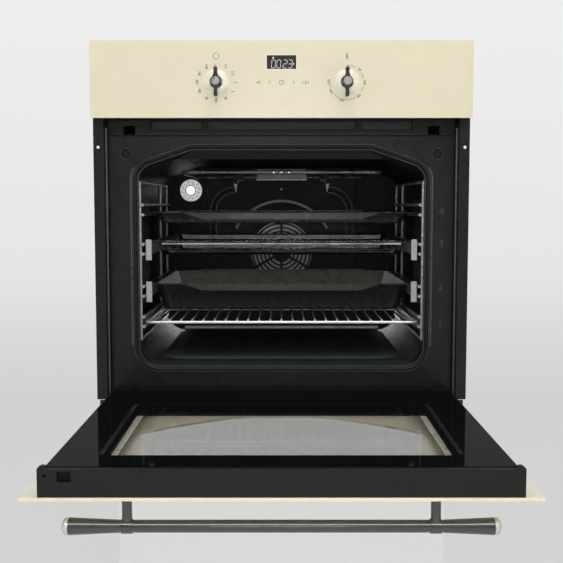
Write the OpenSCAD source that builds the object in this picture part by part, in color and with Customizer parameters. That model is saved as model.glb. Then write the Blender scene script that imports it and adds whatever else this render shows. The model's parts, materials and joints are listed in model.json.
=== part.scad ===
// Built-in electric oven, modelled with its door open and its trays pushed in.
// X runs to the right, Y into the oven from the face of the control panel and Z up from the base.
// place() then moves the origin to the centre of the base face.

/* [Front] */
// Width of the control panel and of the outer door glass
front_w = 595; // [588:1:600]
// Height from the base to the top of the control panel
front_h = 595; // [592:1:600]
// Height of the control panel
panel_h = 119; // [116:1:122]
// How far the face of the panel stands in front of the flange
panel_proud = 20; // [19:1:22]
// Thickness of the panel glass and of the outer door glass
front_glass_t = 4; // [3:0.5:5]
// Thickness of the front frame's sheet
frame_t = 1.5; // [1:0.1:2]
// Height over the base at which the flange strips start
strip_low = 28; // [24:1:34]
// Width of the flange strip at each side of the recess that the closed door fills
flange_w = 20.5; // [19.5:0.5:22]
// How much wider the recess is at its mouth, at each side
recess_taper = 4; // [2:0.5:6]
// Height of the vent trim over the cavity mouth
trim_h = 24.2; // [22:0.2:26]

/* [Door] */
// Thickness of the closed door from its outer to its inner face
door_t = 38; // [36:1:40]
// Gap between the door and the control panel
door_gap = 3; // [2:0.5:4]
// Height of the door's lower edge over the base
door_lift = 4; // [2:0.5:5]
// Gap between the door's body and each side of the recess
door_side_gap = 1.5; // [1:0.25:3]
// Thickness of the middle and inner panes
pane_t = 4; // [3:0.5:5]
// Width of the door frame beside its window
window_side = 60.5; // [57:0.5:75]
// Lowest point of the door frame's window
window_low = 60; // [56:1:80]
// Distance of the window's upper edge below the top of the door
window_drop = 52; // [51:1:72]
// Distance of the hinge axis behind the panel's face
hinge_y = 11.5; // [11:0.25:12]
// Height of the hinge axis over the base
hinge_z = 20.5; // [20:0.5:22]
// Distance of each hinge from the side of the door
hinge_inset = 43.5; // [38:0.5:45]
// Radius of the hinge pin
hinge_pin_r = 4; // [3:0.25:4]

/* [Handle] */
// Radius of the handle's bar
bar_r = 7.5; // [6:0.5:8]
// Distance of the bar's axis in front of the door
bar_stand = 41; // [36:1:46]
// Distance of the bar's axis below the top of the door
bar_drop = 35; // [30:1:38]
// Distance of each post from the side of the door's outer glass
post_inset = 117.5; // [100:0.5:140]
// Radius of a post
post_r = 6; // [4.5:0.25:7]
// Length of each cone at the ends of the bar
cone_l = 61; // [40:1:80]
// Largest radius of the cones
cone_r = 10.25; // [8.5:0.25:12]

/* [Knobs] */
// Distance of each knob from the middle of the panel
knob_x = 101.3; // [90:0.5:120]
// Height of the knobs over the panel's lower edge
knob_rise = 54.5; // [48:0.5:60]
// Radius of a knob's round skirt
skirt_r = 20.5; // [18:0.5:24]
// Length of a knob's grip
grip_l = 50; // [44:1:56]
// Distance of the grip's front face from the panel
grip_reach = 20; // [17:0.5:24]
// Radius of a knob's shaft
shaft_r = 3; // [2:0.25:3.5]

/* [Display] */
// Width of the display window
display_w = 45; // [36:1:60]
// Height of the display window
display_h = 20.5; // [16:0.5:24]
// Height of the display's middle over the panel's lower edge
display_rise = 85.5; // [80:0.5:92]

/* [Cavity] */
// Room between the cavity and each side of the recess
side_room = 44; // [43:0.5:46]
// Height of the cavity's floor over the base
floor_z = 86; // [86:1:90]
// Height from the cavity's ceiling to the lower edge of the control panel
header_h = 61; // [60:1:64]
// Depth of the cavity behind the front plate
cavity_d = 409; // [405:1:415]
// Thickness of the liner's sheet
liner_t = 1.2; // [0.8:0.1:1.5]
// Height of the mouth's lower edge under the cavity's floor
mouth_step = 6; // [4:0.5:8]
// Height of the mouth's upper edge over the ceiling
mouth_rise = 13; // [10:0.5:14]
// Width of the gasket's band round the mouth
gasket_w = 11; // [9:0.5:12]
// Thickness of the insulation
wool_t = 30; // [24:1:30]

/* [Racks] */
// Radius of the rack and shelf wires
wire_r = 2.5; // [2:0.1:2.6]
// Height of the lowest support wire in percent of the cavity's height
level_1 = 17; // [16.5:0.1:18]
// Height of the second support wire in percent of the cavity's height
level_2 = 32.2; // [31.5:0.1:33]
// Height of the third support wire in percent of the cavity's height
level_3 = 53.2; // [52.5:0.1:54]
// Height of the fourth support wire in percent of the cavity's height
level_4 = 72.6; // [72:0.1:73.5]
// Distance between a support wire and the guide wire over it
guide_step = 16; // [15:0.5:17]
// Number of wires in the shelf
shelf_wires = 21; // [11:2:25]
// Distance between the shelf's wires
wire_pitch = 18.5; // [16:0.5:18.5]
// Depth of the deep pan
pan_d = 46; // [30:1:47]
// Depth of the glass tray
glass_tray_d = 25; // [18:1:35]
// Depth of the shallow tray
tray_d = 18; // [14:1:24]
// Drop of the apron at the front of each metal tray
apron_h = 10; // [6:1:12]

/* [Fans and heaters] */
// How far the axis of the hot-air fan lies under the middle of the cavity
fan_drop = 5.5; // [0:0.5:12]
// Radius of the hot-air fan
fan_r = 62; // [50:1:70]
// Number of blades of the hot-air fan
fan_blades = 20; // [12:1:24]
// Depth of the fan chamber behind the fan cover
chamber_d = 32; // [30:1:36]
// Room between the fan cover and each side of the cavity
cover_room = 80; // [74:1:88]
// Radius of a heater's tube
heater_r = 3.25; // [2.5:0.25:3.5]
// Radius of the lamp's lens
lens_r = 21.5; // [18:0.5:24]
// Radius of the cooling rotor
rotor_r = 58; // [50:1:60]
// Number of blades of the cooling rotor
rotor_blades = 24; // [16:1:30]

/* [Casing] */
// Room between the cavity's back wall and the back of the casing
rear_room = 116.5; // [112:0.5:135]
// Thickness of the casing's sheets
casing_t = 1; // [0.8:0.1:1]
// Thickness of the base plate
base_t = 1.8; // [1.5:0.1:2.5]
// Distance between the two screw holes in the flange strips
screw_span = 580; // [576:1:582]
// Height of the screw holes over the base
screw_z = 432; // [420:1:440]
// Radius of the screw holes
screw_r = 2.5; // [2:0.25:3]
// Radius of the inlet for the mains cable
inlet_r = 5.5; // [4:0.5:7]

/* [Hidden] */
$fn = 48;

// Gap between pieces that seat on each other
seat = 0.3;
// Gap between a turning shaft and its bore
running = 0.05;
// Gap between sliding rails
slide_gap = 0.5;
// Overrun of a cutting shape past the face that it cuts
cut = 1;
// Flats in each rounded corner of an outline
arc_steps = 7;

front_half = front_w / 2;
panel_z = front_h - panel_h;
recess_half = front_half - flange_w;
strip_in = recess_half + recess_taper;
gasket_clear = 0.4;
gasket_bead = 3.6;
plate_y = door_t + gasket_clear + gasket_bead;
plate_back = plate_y + frame_t;
casing_half = recess_half + casing_t;
casing_front = plate_back + seat;
casing_end = plate_y + cavity_d + rear_room;
casing_h = front_h - 7;
origin_y = (casing_front + casing_end) / 2;
carrier_t = 2.5;
carrier_y = front_glass_t + seat;

door_half = recess_half - door_side_gap;
glass_low = door_lift;
glass_high = panel_z - door_gap;
body_low = glass_low + 2;
body_high = glass_high - 0.5;
top_trim_t = 6;
frame_high = body_high - top_trim_t - seat;
heel_r = 12;
hinge_zone = hinge_z + 10.5;
inner_pane_y = door_t - pane_t;
inner_half = door_half - 8.5;
lug_r = 6;
middle_y = 18;
pane_lap = 8;
window_half = door_half - window_side;
window_high = glass_high - window_drop;
hinge_x = door_half - hinge_inset;
post_x = front_half - post_inset;
arm_w = 6;
arm_half_h = 6.5;
cheek_t = 2.1;
cheek_out = arm_w / 2 + 0.5 + cheek_t;
hinge_slot = cheek_out + seat;
cartridge_h = 150;
bar_z = glass_high - bar_drop;
washer_t = 1.5;
screw_shank_r = 2.5;

knob_z = panel_z + knob_rise;
display_z = panel_z + display_rise;
switch_half = 22;
switch_d = 30;
skirt_rim_h = 1.4;
skirt_flat_h = 4;
skirt_top = 2 * seat + skirt_rim_h + skirt_flat_h;

cavity_half = recess_half - side_room;
ceiling_z = panel_z - header_h;
cavity_h = ceiling_z - floor_z;
shoulder_z = ceiling_z - 24.4;
ceiling_half = cavity_half - 64;
back_y = plate_y + cavity_d;
cavity_corners = [
    [cavity_half, floor_z], [cavity_half, shoulder_z], [ceiling_half, ceiling_z],
    [-ceiling_half, ceiling_z], [-cavity_half, shoulder_z], [-cavity_half, floor_z]
];
floor_r = 33;
cavity_radii = [floor_r, 22, 30, 30, 22, floor_r];
mouth_half = cavity_half - 3;
mouth_corners = [
    [mouth_half, floor_z - mouth_step], [mouth_half, shoulder_z + 8],
    [ceiling_half - 25, ceiling_z + mouth_rise], [25 - ceiling_half, ceiling_z + mouth_rise],
    [-mouth_half, shoulder_z + 8], [-mouth_half, floor_z - mouth_step]
];
mouth_radii = [30, 28, 30, 30, 28, 30];
throat_d = 8;
wool_gap = 0.5;
wool_in = liner_t + wool_gap;

rack_x = cavity_half - seat - wire_r;
rack_front = plate_back + throat_d + seat + wire_r;
support_x = rack_x - 1.85 * wire_r;
levels = [for (share = [level_1, level_2, level_3, level_4]) floor_z + cavity_h * share / 100];
shelf_half = rack_x - wire_r - slide_gap;
rail_half_h = 10;
rail_out = support_x - wire_r - seat;
rail_t = 1.2;
rail_w = 7;
slide_in = rail_out - 10;
slide_front = rack_front + 8;
tray_front = slide_front + 4;
tray_back = back_y - chamber_d - 8;
slide_end = tray_back + 4;
rack_back = tray_back - 1;
lower_z = levels[1] + guide_step / 2;
upper_z = levels[2] + guide_step / 2;

grill_z = ceiling_z - 20;
block_t = 6;
cover_y = back_y - chamber_d;
cover_half = cavity_half - cover_room;
fan_z = (floor_z + ceiling_z) / 2 - fan_drop;
lamp_x = 48 - cavity_half;
lamp_z = ceiling_z - 45;
ring_r = fan_r + 22;
ring_leg = 14;
grill_leg = 30;
ring_leg_z = fan_z - sqrt(ring_r * ring_r - ring_leg * ring_leg);
motor_y = back_y + liner_t + wool_t + 2 * seat;
duct_z = ceiling_z + wool_in + wool_t + seat;
duct_h = 32;
rotor_y = casing_front + 215;
motor_bolt_r = fan_r - 17;
duct_half = cavity_half - 19;
vent_half = duct_half - 4;
vent_split = vent_half * 17 / 30;
vent_web = 9.6;
latch_x = recess_half - 32.5;
latch_w = 21;
floor_turn_r = (cavity_half - 73) / 4;
terminal_x = 150;
terminal_half = 31;
terminal_low = 59;
terminal_high = 101;
slot_low = panel_z - 15;
slot_high = panel_z - 2;

// Unit vector along v
function unit(v) = v / norm(v);
// Corner of outline p after and before corner i
function after(p, i) = p[(i + 1) % len(p)];
function before(p, i) = p[(i + len(p) - 1) % len(p)];
// Anticlockwise outline p with its edges moved outwards by t
function grown(p, t) = [
    for (i = [0 : len(p) - 1])
        let (
            u = unit(p[i] - before(p, i)),
            v = unit(after(p, i) - p[i]),
            m = [u.y, -u.x],
            n = [v.y, -v.x]
        )
        p[i] + t * (m + n) / (1 + m * n)
];
// Outline p with its corners turned on the radii r
function rounded(p, r) = [
    for (i = [0 : len(p) - 1])
        let (
            a = unit(before(p, i) - p[i]),
            b = unit(after(p, i) - p[i]),
            half = acos(a * b) / 2,
            turn = 180 - 2 * half,
            centre = p[i] + unit(a + b) * r[i] / sin(half),
            s = unit(p[i] + a * r[i] / tan(half) - centre),
            e = unit(p[i] + b * r[i] / tan(half) - centre)
        )
        for (k = [0 : arc_steps])
            let (f = k / arc_steps)
            centre + r[i] * (s * sin((1 - f) * turn) + e * sin(f * turn)) / sin(turn)
];
function cavity_outline(t) = rounded(grown(cavity_corners, t), [for (r = cavity_radii) r + t]);
function mouth_outline(t) = rounded(grown(mouth_corners, t), [for (r = mouth_radii) r + t]);
// Rounded rectangle of half sizes x and y about the point c
function round_box(c, x, y, r) =
    rounded([c + [-x, -y], c + [x, -y], c + [x, y], c + [-x, y]], [r, r, r, r]);

module place() { translate([0, -origin_y, 0]) children(); }
module both() { children(); mirror([1, 0, 0]) children(); }
module block(low, high) { translate(low) cube(high - low); }
module slab(half_x, low, high) { block([-half_x, low.x, low.y], [half_x, high.x, high.y]); }
module along_y(y0, y1) { translate([0, y1, 0]) rotate([90, 0, 0]) linear_extrude(y1 - y0) children(); }
module along_x(x0, x1) { translate([x0, 0, 0]) rotate([90, 0, 90]) linear_extrude(x1 - x0) children(); }
module rod_x(x0, x1, y, z, r) { translate([x0, y, z]) rotate([0, 90, 0]) cylinder(r = r, h = x1 - x0); }
module rod_y(y0, y1, x, z, r) { translate([x, y0, z]) rotate([-90, 0, 0]) cylinder(r = r, h = y1 - y0); }
module rod_z(z0, z1, x, y, r) { translate([x, y, z0]) cylinder(r = r, h = z1 - z0); }
// Turns a piece of the closed door to where it lies open
module opened() {
    translate([0, hinge_y, hinge_z]) rotate([90, 0, 0]) translate([0, -hinge_y, -hinge_z]) children();
}
// Closed skin between two outlines of as many points, each an outline in X and Z with its own Y
module loft(p, y0, q, y1) {
    n = len(p);
    points = concat([for (c = p) [c.x, y0, c.y]], [for (c = q) [c.x, y1, c.y]]);
    sides = [for (i = [0 : n - 1]) let (j = (i + 1) % n) each [[i, j, j + n], [i, j + n, i + n]]];
    front = [[for (i = [n - 1 : -1 : 0]) i]];
    back = [[for (i = [0 : n - 1]) i + n]];
    polyhedron(points, concat(sides, front, back));
}
// Closed skin between two outlines in X and Y, each at its own height
module loft_z(p, z0, q, z1) {
    n = len(p);
    points = concat([for (c = p) [c.x, c.y, z0]], [for (c = q) [c.x, c.y, z1]]);
    sides = [for (i = [0 : n - 1]) let (j = (i + 1) % n) each [[i, i + n, j + n], [i, j + n, j]]];
    bottom = [[for (i = [0 : n - 1]) i]];
    top = [[for (i = [n - 1 : -1 : 0]) i + n]];
    polyhedron(points, concat(sides, bottom, top));
}
// Quarter or half turn of a tube in the XY plane
module bend(x, y, z, radius, start, angle, tube_r) {
    translate([x, y, z]) rotate([0, 0, start]) rotate_extrude(angle = angle, $fn = 32)
        translate([radius, 0]) circle(r = tube_r, $fn = 24);
}

module panel_glass() {
    color("#ebe4c8") difference() {
        slab(front_half, [0, panel_z], [front_glass_t, front_h]);
        both() rod_y(-cut, front_glass_t + cut, knob_x, knob_z, shaft_r + 2);
        slab(display_w / 2 + seat, [-cut, display_z - display_h / 2 - seat],
            [front_glass_t + cut, display_z + display_h / 2 + seat]);
    }
}

module panel_carrier() {
    rim = 1.5;
    color("#2a2a2a") {
        difference() {
            slab(front_half - rim, [carrier_y, panel_z + rim], [panel_proud, front_h - rim]);
            slab(front_half - rim - carrier_t, [carrier_y + carrier_t, panel_z + rim + carrier_t],
                [panel_proud + cut, front_h - rim - carrier_t]);
            both() rod_y(0, panel_proud, knob_x, knob_z, shaft_r + 3);
            slab(display_w / 2 + seat, [0, display_z - display_h / 2 - seat],
                [panel_proud, display_z + display_h / 2 + seat]);
        }
        for (z = [display_z - 16, display_z + 16])
            both() rod_y(carrier_y + carrier_t, carrier_y + carrier_t + 8, 60, z, 3);
    }
}

module display_window() {
    color("#15181a")
        slab(display_w / 2, [0, display_z - display_h / 2],
            [carrier_y + carrier_t, display_z + display_h / 2]);
}

module control_board() {
    board_y = carrier_y + carrier_t + 8 + seat;
    color("#2f5b3a") {
        slab(70, [board_y, display_z - 20], [board_y + 1.6, display_z + 20]);
        slab(display_w / 2 - 1, [carrier_y + carrier_t + seat, display_z - display_h / 2 + 1],
            [board_y, display_z + display_h / 2 - 1]);
        for (x = [-52, 30]) block([x, board_y + 1.6, display_z - 12], [x + 16, board_y + 16, display_z + 10]);
    }
}

module rotary_switch(x) {
    y0 = carrier_y + carrier_t + seat;
    difference() {
        union() {
            block([x - switch_half, y0, knob_z - switch_half],
                [x + switch_half, y0 + switch_d, knob_z + switch_half]);
            for (side = [x - 15, x + 15])
                block([side - 3, y0 + switch_d, knob_z - 14], [side + 3, y0 + switch_d + 8, knob_z + 14]);
        }
        rod_y(0, y0 + 20, x, knob_z, shaft_r + running);
    }
}
module function_switch() { color("#e4e2da") rotary_switch(-knob_x); }
module temperature_switch() {
    color("#d9d6cc") {
        rotary_switch(knob_x);
        rod_y(carrier_y + carrier_t + seat + switch_d, carrier_y + carrier_t + seat + switch_d + 10,
            knob_x, knob_z + 18, 3);
    }
}

module skirt() {
    dome_h = 6;
    dome_r = (skirt_r * skirt_r + dome_h * dome_h) / (2 * dome_h);
    difference() {
        translate([0, -2 * seat, 0]) rotate([90, 0, 0]) union() {
            cylinder(r = skirt_r, h = skirt_rim_h);
            intersection() {
                translate([0, 0, skirt_rim_h]) cylinder(r = skirt_r, h = skirt_flat_h);
                translate([0, 0, skirt_rim_h + dome_h - dome_r]) sphere(r = dome_r);
            }
        }
        rod_y(-20, 10, 0, 0, shaft_r + running);
    }
}
// Waisted bar with a pointed upper end, an outline in X and Z
function grip_outline() =
    let (h = grip_l / 2)
    rounded(
        [[-3.6, -h], [3.6, -h], [2.6, -h / 2], [5.6, -5], [5.6, 5], [2.6, h / 2], [4, h - 7], [0, h],
         [-4, h - 7], [-2.6, h / 2], [-5.6, 5], [-5.6, -5], [-2.6, -h / 2]],
        [1.6, 1.6, 12, 3, 3, 12, 1.5, 0.8, 1.5, 12, 3, 3, 12]);
module grip() {
    difference() {
        union() {
            rod_y(-skirt_top - 4, -skirt_top - seat, 0, 0, 9);
            along_y(-grip_reach, -skirt_top - 3) polygon(grip_outline());
            rod_y(-grip_reach - 2.5, -grip_reach + 1, 0, 0, 6.5);
        }
        rod_y(-grip_reach + 4, cut, 0, 0, shaft_r + running);
    }
}
module at_function() { translate([-knob_x, 0, knob_z]) children(); }
module at_temperature() { translate([knob_x, 0, knob_z]) children(); }
module knob_shaft() { rod_y(-grip_reach + 5, carrier_y + 18, 0, 0, shaft_r); }
module function_skirt() { color("#ece6cf") at_function() skirt(); }
module function_grip() { color("#4a4744") at_function() grip(); }
module function_shaft() { color("silver") at_function() knob_shaft(); }
module temperature_skirt() { color("#ece6cf") at_temperature() skirt(); }
module temperature_grip() { color("#4a4744") at_temperature() grip(); }
module temperature_shaft() { color("silver") at_temperature() knob_shaft(); }

module vent_slots(y0, y1) {
    slab(vent_split, [y0, slot_low], [y1, slot_high]);
    both() {
        block([vent_split + vent_web, y0, slot_low], [vent_half, y1, slot_high]);
        block([latch_x - latch_w / 2, y0, panel_z - 23], [latch_x + latch_w / 2, y1, panel_z - 9]);
    }
}

module front_frame() {
    half = [
        [0, plate_y], [recess_half, plate_y], [strip_in, panel_proud], [front_half, panel_proud],
        [front_half, panel_proud + frame_t], [strip_in + frame_t, panel_proud + frame_t],
        [recess_half + frame_t, plate_back], [0, plate_back]
    ];
    bay = 12;
    color("#2b2b2b") difference() {
        both() linear_extrude(casing_h) polygon(half);
        both() block([recess_half - cut, 0, -cut], [front_half + cut, plate_y, strip_low]);
        along_y(plate_y - cut, plate_back + cut) polygon(mouth_outline(0));
        slab(recess_half - bay, [plate_y - cut, panel_z + bay], [plate_back + cut, front_h - bay]);
        vent_slots(plate_y - cut, plate_back + cut);
        both() {
            rod_y(0, plate_y, screw_span / 2, screw_z, screw_r);
            block([hinge_x - arm_w / 2 - 1, plate_y - cut, hinge_z - arm_half_h - 1],
                [hinge_x + arm_w / 2 + 1, plate_back + cut, hinge_z + arm_half_h + 1]);
        }
    }
}

module vent_trim() {
    color("#232323") difference() {
        slab(recess_half - 15, [plate_y - 2.7, panel_z - trim_h], [plate_y - seat, panel_z]);
        vent_slots(plate_y - 3 - cut, plate_y);
    }
}

module frame_buffers() {
    color("#1c1c1c") both() difference() {
        rod_y(plate_y - 3, plate_y - seat / 2, mouth_half + 20, ceiling_z + 8, 8.25);
        rod_y(plate_y - 4, plate_y - 1.5, mouth_half + 20, ceiling_z + 8, 5);
    }
}

module mouth_gasket() {
    color("#3b3c3b") difference() {
        union() {
            along_y(plate_y - 1.4, plate_y) polygon(mouth_outline(gasket_w + 1));
            along_y(door_t + gasket_clear, plate_y - 1.4) polygon(mouth_outline(gasket_w - 1));
        }
        along_y(plate_y - 1.4, plate_y + cut) polygon(mouth_outline(1));
        along_y(0, plate_y - 1) polygon(mouth_outline(3));
    }
}

module cavity_liner() {
    color("#3a4144") {
        difference() {
            union() {
                along_y(plate_back, plate_back + liner_t) polygon(mouth_outline(12));
                loft(mouth_outline(liner_t), plate_back, cavity_outline(liner_t), plate_back + throat_d);
            }
            loft(mouth_outline(0), plate_back - 0.01, cavity_outline(0), plate_back + throat_d + 0.01);
        }
        difference() {
            along_y(plate_back + throat_d, back_y) polygon(cavity_outline(liner_t));
            along_y(plate_back, back_y + cut) polygon(cavity_outline(0));
        }
    }
}

module wall_holes(y0, y1) {
    rod_y(y0, y1, lamp_x, lamp_z, lens_r + 1);
    rod_y(y0, y1, 0, fan_z, 8);
    both() rod_y(y0, y1, ring_leg, ring_leg_z, 0.85 * heater_r + seat);
    both() rod_y(y0, y1, grill_leg, grill_z, heater_r + seat);
}

module cavity_back() {
    color("#343a3d") difference() {
        along_y(back_y, back_y + liner_t) polygon(cavity_outline(liner_t));
        wall_holes(back_y - cut, back_y + liner_t + cut);
    }
}

module insulation() {
    y0 = plate_back + liner_t + seat;
    y1 = back_y + liner_t + wool_gap;
    color("#c9b98c") difference() {
        union() {
            along_y(y0, y1) polygon(cavity_outline(wool_in + wool_t));
            along_y(y1, y1 + wool_t) polygon(cavity_outline(wool_in + wool_t));
        }
        along_y(0, plate_back + throat_d + 4) polygon(mouth_outline(liner_t + 2));
        along_y(0, y1) polygon(cavity_outline(wool_in));
        slab(4 * floor_turn_r + 35, [y0 + 25, floor_z - liner_t - 3 * heater_r], [y1 - 15, floor_z]);
        rod_y(0, y1 + wool_t + cut, lamp_x, lamp_z, lens_r + 8);
        rod_y(0, y1 + wool_t + cut, 0, fan_z, 10);
        for (a = [90, 210, 330])
            rod_y(0, y1 + wool_t + cut, motor_bolt_r * cos(a), fan_z + motor_bolt_r * sin(a), 4 + seat);
        both() rod_y(0, y1 + wool_t + cut, ring_leg, ring_leg_z, heater_r + 2);
        both() rod_y(0, y1 + wool_t + cut, grill_leg, grill_z, heater_r + 2);
    }
}

// Rings of slots between the radii r0 and r1, crossed by webs
module ring_slots(y0, y1, r0, r1, step, width, webs) {
    difference() {
        for (r = [r0 : step : r1])
            difference() {
                rod_y(y0, y1, 0, fan_z, r + width / 2);
                rod_y(y0 - cut, y1 + cut, 0, fan_z, r - width / 2);
            }
        for (k = [0 : webs - 1])
            translate([0, 0, fan_z]) rotate([0, 180 / webs * (2 * k + 1), 0])
                block([0, y0 - 2 * cut, -2.5], [r1 + step, y1 + 2 * cut, 2.5]);
    }
}

// Curved air outlet between the radii r0 and r1 in an upper corner of the fan cover
// Air outlet of the fan cover: a quarter turn about the point c that runs on straight downwards
module corner_outlet(c, r0, r1, drop, y0, y1) {
    intersection() {
        difference() {
            rod_y(y0, y1, c.x, c.y, r1);
            rod_y(y0 - cut, y1 + cut, c.x, c.y, r0);
        }
        block([c.x, y0, c.y - cut], [c.x + r1 + cut, y1, c.y + r1 + cut]);
    }
    block([c.x + r0, y0, c.y - drop], [c.x + r1, y1, c.y]);
}

module fan_cover() {
    top = ceiling_z - 4;
    low = floor_z + 19;
    t = 1.2;
    lean = 5;
    proud = 4;
    ring_out = fan_r + 45;
    ring_in = ring_out - 16;
    outlet_r = 48;
    outlet_w = 11;
    outlet = [cover_half - 58.5, top - 83];
    c = [0, (top + low) / 2];
    h = (top - low) / 2;
    color("#2e3335") difference() {
        union() {
            loft(round_box(c, cover_half - lean, h - lean, 16), cover_y,
                round_box(c, cover_half, h, 20), back_y - seat);
            slab(cover_half - 67, [cover_y - block_t, top - 29], [cover_y + t, top - lean - 1]);
            difference() {
                rod_y(cover_y - proud, cover_y + t, 0, fan_z, ring_out);
                rod_y(cover_y - proud - cut, cover_y, 0, fan_z, ring_in);
            }
        }
        loft(round_box(c, cover_half - lean - t, h - lean - t, 16 - t), cover_y + t,
            round_box(c, cover_half - t, h - t, 20 - t), back_y - seat + 0.01);
        difference() {
            rod_y(cover_y - proud + t, cover_y + t + 0.01, 0, fan_z, ring_out - 2);
            rod_y(cover_y - proud, cover_y + t + cut, 0, fan_z, ring_in + 2);
        }
        ring_slots(cover_y - cut, cover_y + 2 * t, 22, fan_r + 6, 8, 4.5, 6);
        both() corner_outlet(outlet, outlet_r - outlet_w, outlet_r, 70, cover_y - cut, cover_y + 2 * t);
        both() block([grill_leg - 4.5, cover_y - block_t - cut, grill_z - heater_r - 1.5],
            [grill_leg + 16, cover_y + 10, top + cut]);
        both() for (z = [fan_z - 80 : 40 : fan_z + 80])
            block([cover_half - 30, cover_y + 10, z - 12], [cover_half + 5, back_y - 10, z + 12]);
        rod_y(cover_y - 2, cover_y + 3, 0, top - 39, 2.2);
    }
}

module fan_motor() {
    color("#8f9499") difference() {
        union() {
            rod_y(motor_y + 2, motor_y + 44, 0, fan_z, fan_r - 30);
            along_y(motor_y, motor_y + 2) polygon(round_box([0, fan_z], fan_r - 6, fan_r - 6, 20));
            for (a = [90, 210, 330])
                rod_y(back_y + liner_t, motor_y + 1, motor_bolt_r * cos(a), fan_z + motor_bolt_r * sin(a), 4);
        }
        rod_y(back_y, motor_y + 30, 0, fan_z, 4 + running);
    }
}

module fan_wheel() {
    disc_y = back_y - 8;
    color("#6c7276") {
        rod_y(disc_y - 1.2, disc_y, 0, fan_z, fan_r);
        rod_y(disc_y - 12, disc_y, 0, fan_z, 10);
        rod_y(disc_y - 14, motor_y + 28, 0, fan_z, 4);
        for (k = [0 : fan_blades - 1])
            translate([0, 0, fan_z]) rotate([0, 360 / fan_blades * k, 0])
                translate([fan_r - 12, 0, 0]) rotate([0, 35, 0])
                    block([-11, disc_y - 14, -0.6], [11, disc_y - 1, 0.6]);
    }
}

module ring_heater() {
    heater_y = back_y - chamber_d / 2;
    color("#5c5450") {
        translate([0, heater_y, fan_z]) rotate([90, 0, 0]) rotate_extrude()
            translate([ring_r, 0]) circle(r = heater_r, $fn = 24);
        both() rod_y(heater_y, motor_y, ring_leg, ring_leg_z, 0.85 * heater_r);
    }
}

module grill_heater() {
    z = grill_z;
    front = plate_back + throat_d + 40;
    turn_r = 22;
    rear = cover_y - block_t - 2 - heater_r - turn_r;
    reach = ceiling_half - heater_r;
    rows = [reach, reach - 2 * turn_r, reach - 4 * turn_r];
    color("#6e6862") {
        both() {
            rod_y(front + turn_r, rear, rows[0], z, heater_r);
            rod_y(front + turn_r, rear - turn_r, rows[1], z, heater_r);
            rod_y(front + turn_r, rear - turn_r, rows[2], z, heater_r);
            bend(rows[0] - turn_r, front + turn_r, z, turn_r, 180, 180, heater_r);
            bend(rows[1] - turn_r, rear - turn_r, z, turn_r, 0, 180, heater_r);
            bend(rows[0] - turn_r, rear, z, turn_r, 0, 90, heater_r);
            rod_x(grill_leg + turn_r, rows[0] - turn_r, rear + turn_r, z, heater_r);
            bend(rows[2] - turn_r, front + turn_r, z, turn_r, 270, 90, heater_r);
            bend(grill_leg + turn_r, rear + 2 * turn_r, z, turn_r, 180, 90, heater_r);
            rod_y(rear + 2 * turn_r, motor_y, grill_leg, z, heater_r);
        }
        rod_x(turn_r - rows[2], rows[2] - turn_r, front, z, heater_r);
        slab(49, [back_y - 4, z - 1], [back_y - seat, z + 10]);
    }
}

module bottom_heater() {
    z = floor_z - liner_t - seat - heater_r;
    front = plate_back + 50 + floor_turn_r;
    rear = back_y - 30 - floor_turn_r;
    color("#6e6862") {
        for (k = [-2 : 2]) rod_y(front, rear, 2 * k * floor_turn_r, z, heater_r);
        for (k = [-3, 1]) bend(k * floor_turn_r, rear, z, floor_turn_r, 0, 180, heater_r);
        for (k = [-1, 3]) bend(k * floor_turn_r, front, z, floor_turn_r, 180, 180, heater_r);
    }
}

module lamp_housing() {
    y1 = back_y + liner_t + 34;
    color("#b9bcbe") {
        difference() {
            union() {
                rod_y(back_y + liner_t, y1, lamp_x, lamp_z, lens_r + 5);
                rod_y(back_y + liner_t, back_y + liner_t + 1, lamp_x, lamp_z, lens_r + 7);
            }
            rod_y(back_y - 2, y1 - 6, lamp_x, lamp_z, lens_r + 1);
            rod_y(back_y, y1 + cut, lamp_x, lamp_z, 7);
        }
        difference() {
            rod_y(y1 - 8, y1 + 14, lamp_x, lamp_z, 10);
            rod_y(y1 - 9, y1 + 10, lamp_x, lamp_z, 7);
        }
    }
}

module lamp_bulb() {
    y1 = back_y + liner_t + 34;
    color("#e9eef0") {
        rod_y(y1 - 10, y1 + 9, lamp_x, lamp_z, 7 - seat);
        rod_y(y1 - 24, y1 - 10, lamp_x, lamp_z, 9);
        translate([lamp_x, y1 - 24, lamp_z]) sphere(r = 9);
    }
}

module lamp_lens() {
    dome_h = 8;
    dome_r = (lens_r * lens_r + dome_h * dome_h) / (2 * dome_h);
    color("#f2f5f6") difference() {
        union() {
            rod_y(back_y - 1, back_y + liner_t + 8, lamp_x, lamp_z, lens_r + 0.6);
            intersection() {
                rod_y(back_y - 1 - dome_h, back_y, lamp_x, lamp_z, lens_r);
                translate([lamp_x, back_y - 1 - dome_h + dome_r, lamp_z]) sphere(r = dome_r);
            }
        }
        rod_y(back_y, back_y + liner_t + 8 + cut, lamp_x, lamp_z, lens_r - 2.5);
    }
}

module rack_wire(y0, y1, x, z) { rod_y(y0, y1, x, z, wire_r); }
module side_racks() {
    low = floor_z + floor_r + 2;
    high = ceiling_z - 37;
    uprights = [rack_front, rack_back - 95, rack_back];
    color("#c8cacc") both() {
        for (y = uprights) rod_z(low, high, rack_x, y, wire_r);
        for (z = [low, high]) {
            rack_wire(rack_front, rack_back, rack_x, z);
            for (y = [rack_front, rack_back])
                translate([rack_x, y, z]) sphere(r = wire_r, $fn = 24);
        }
        for (z = levels) {
            rack_wire(rack_front - 3, rack_back + 3, support_x, z);
            rack_wire(rack_front - 3, rack_back + 3, support_x, z + guide_step);
        }
    }
}

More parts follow.
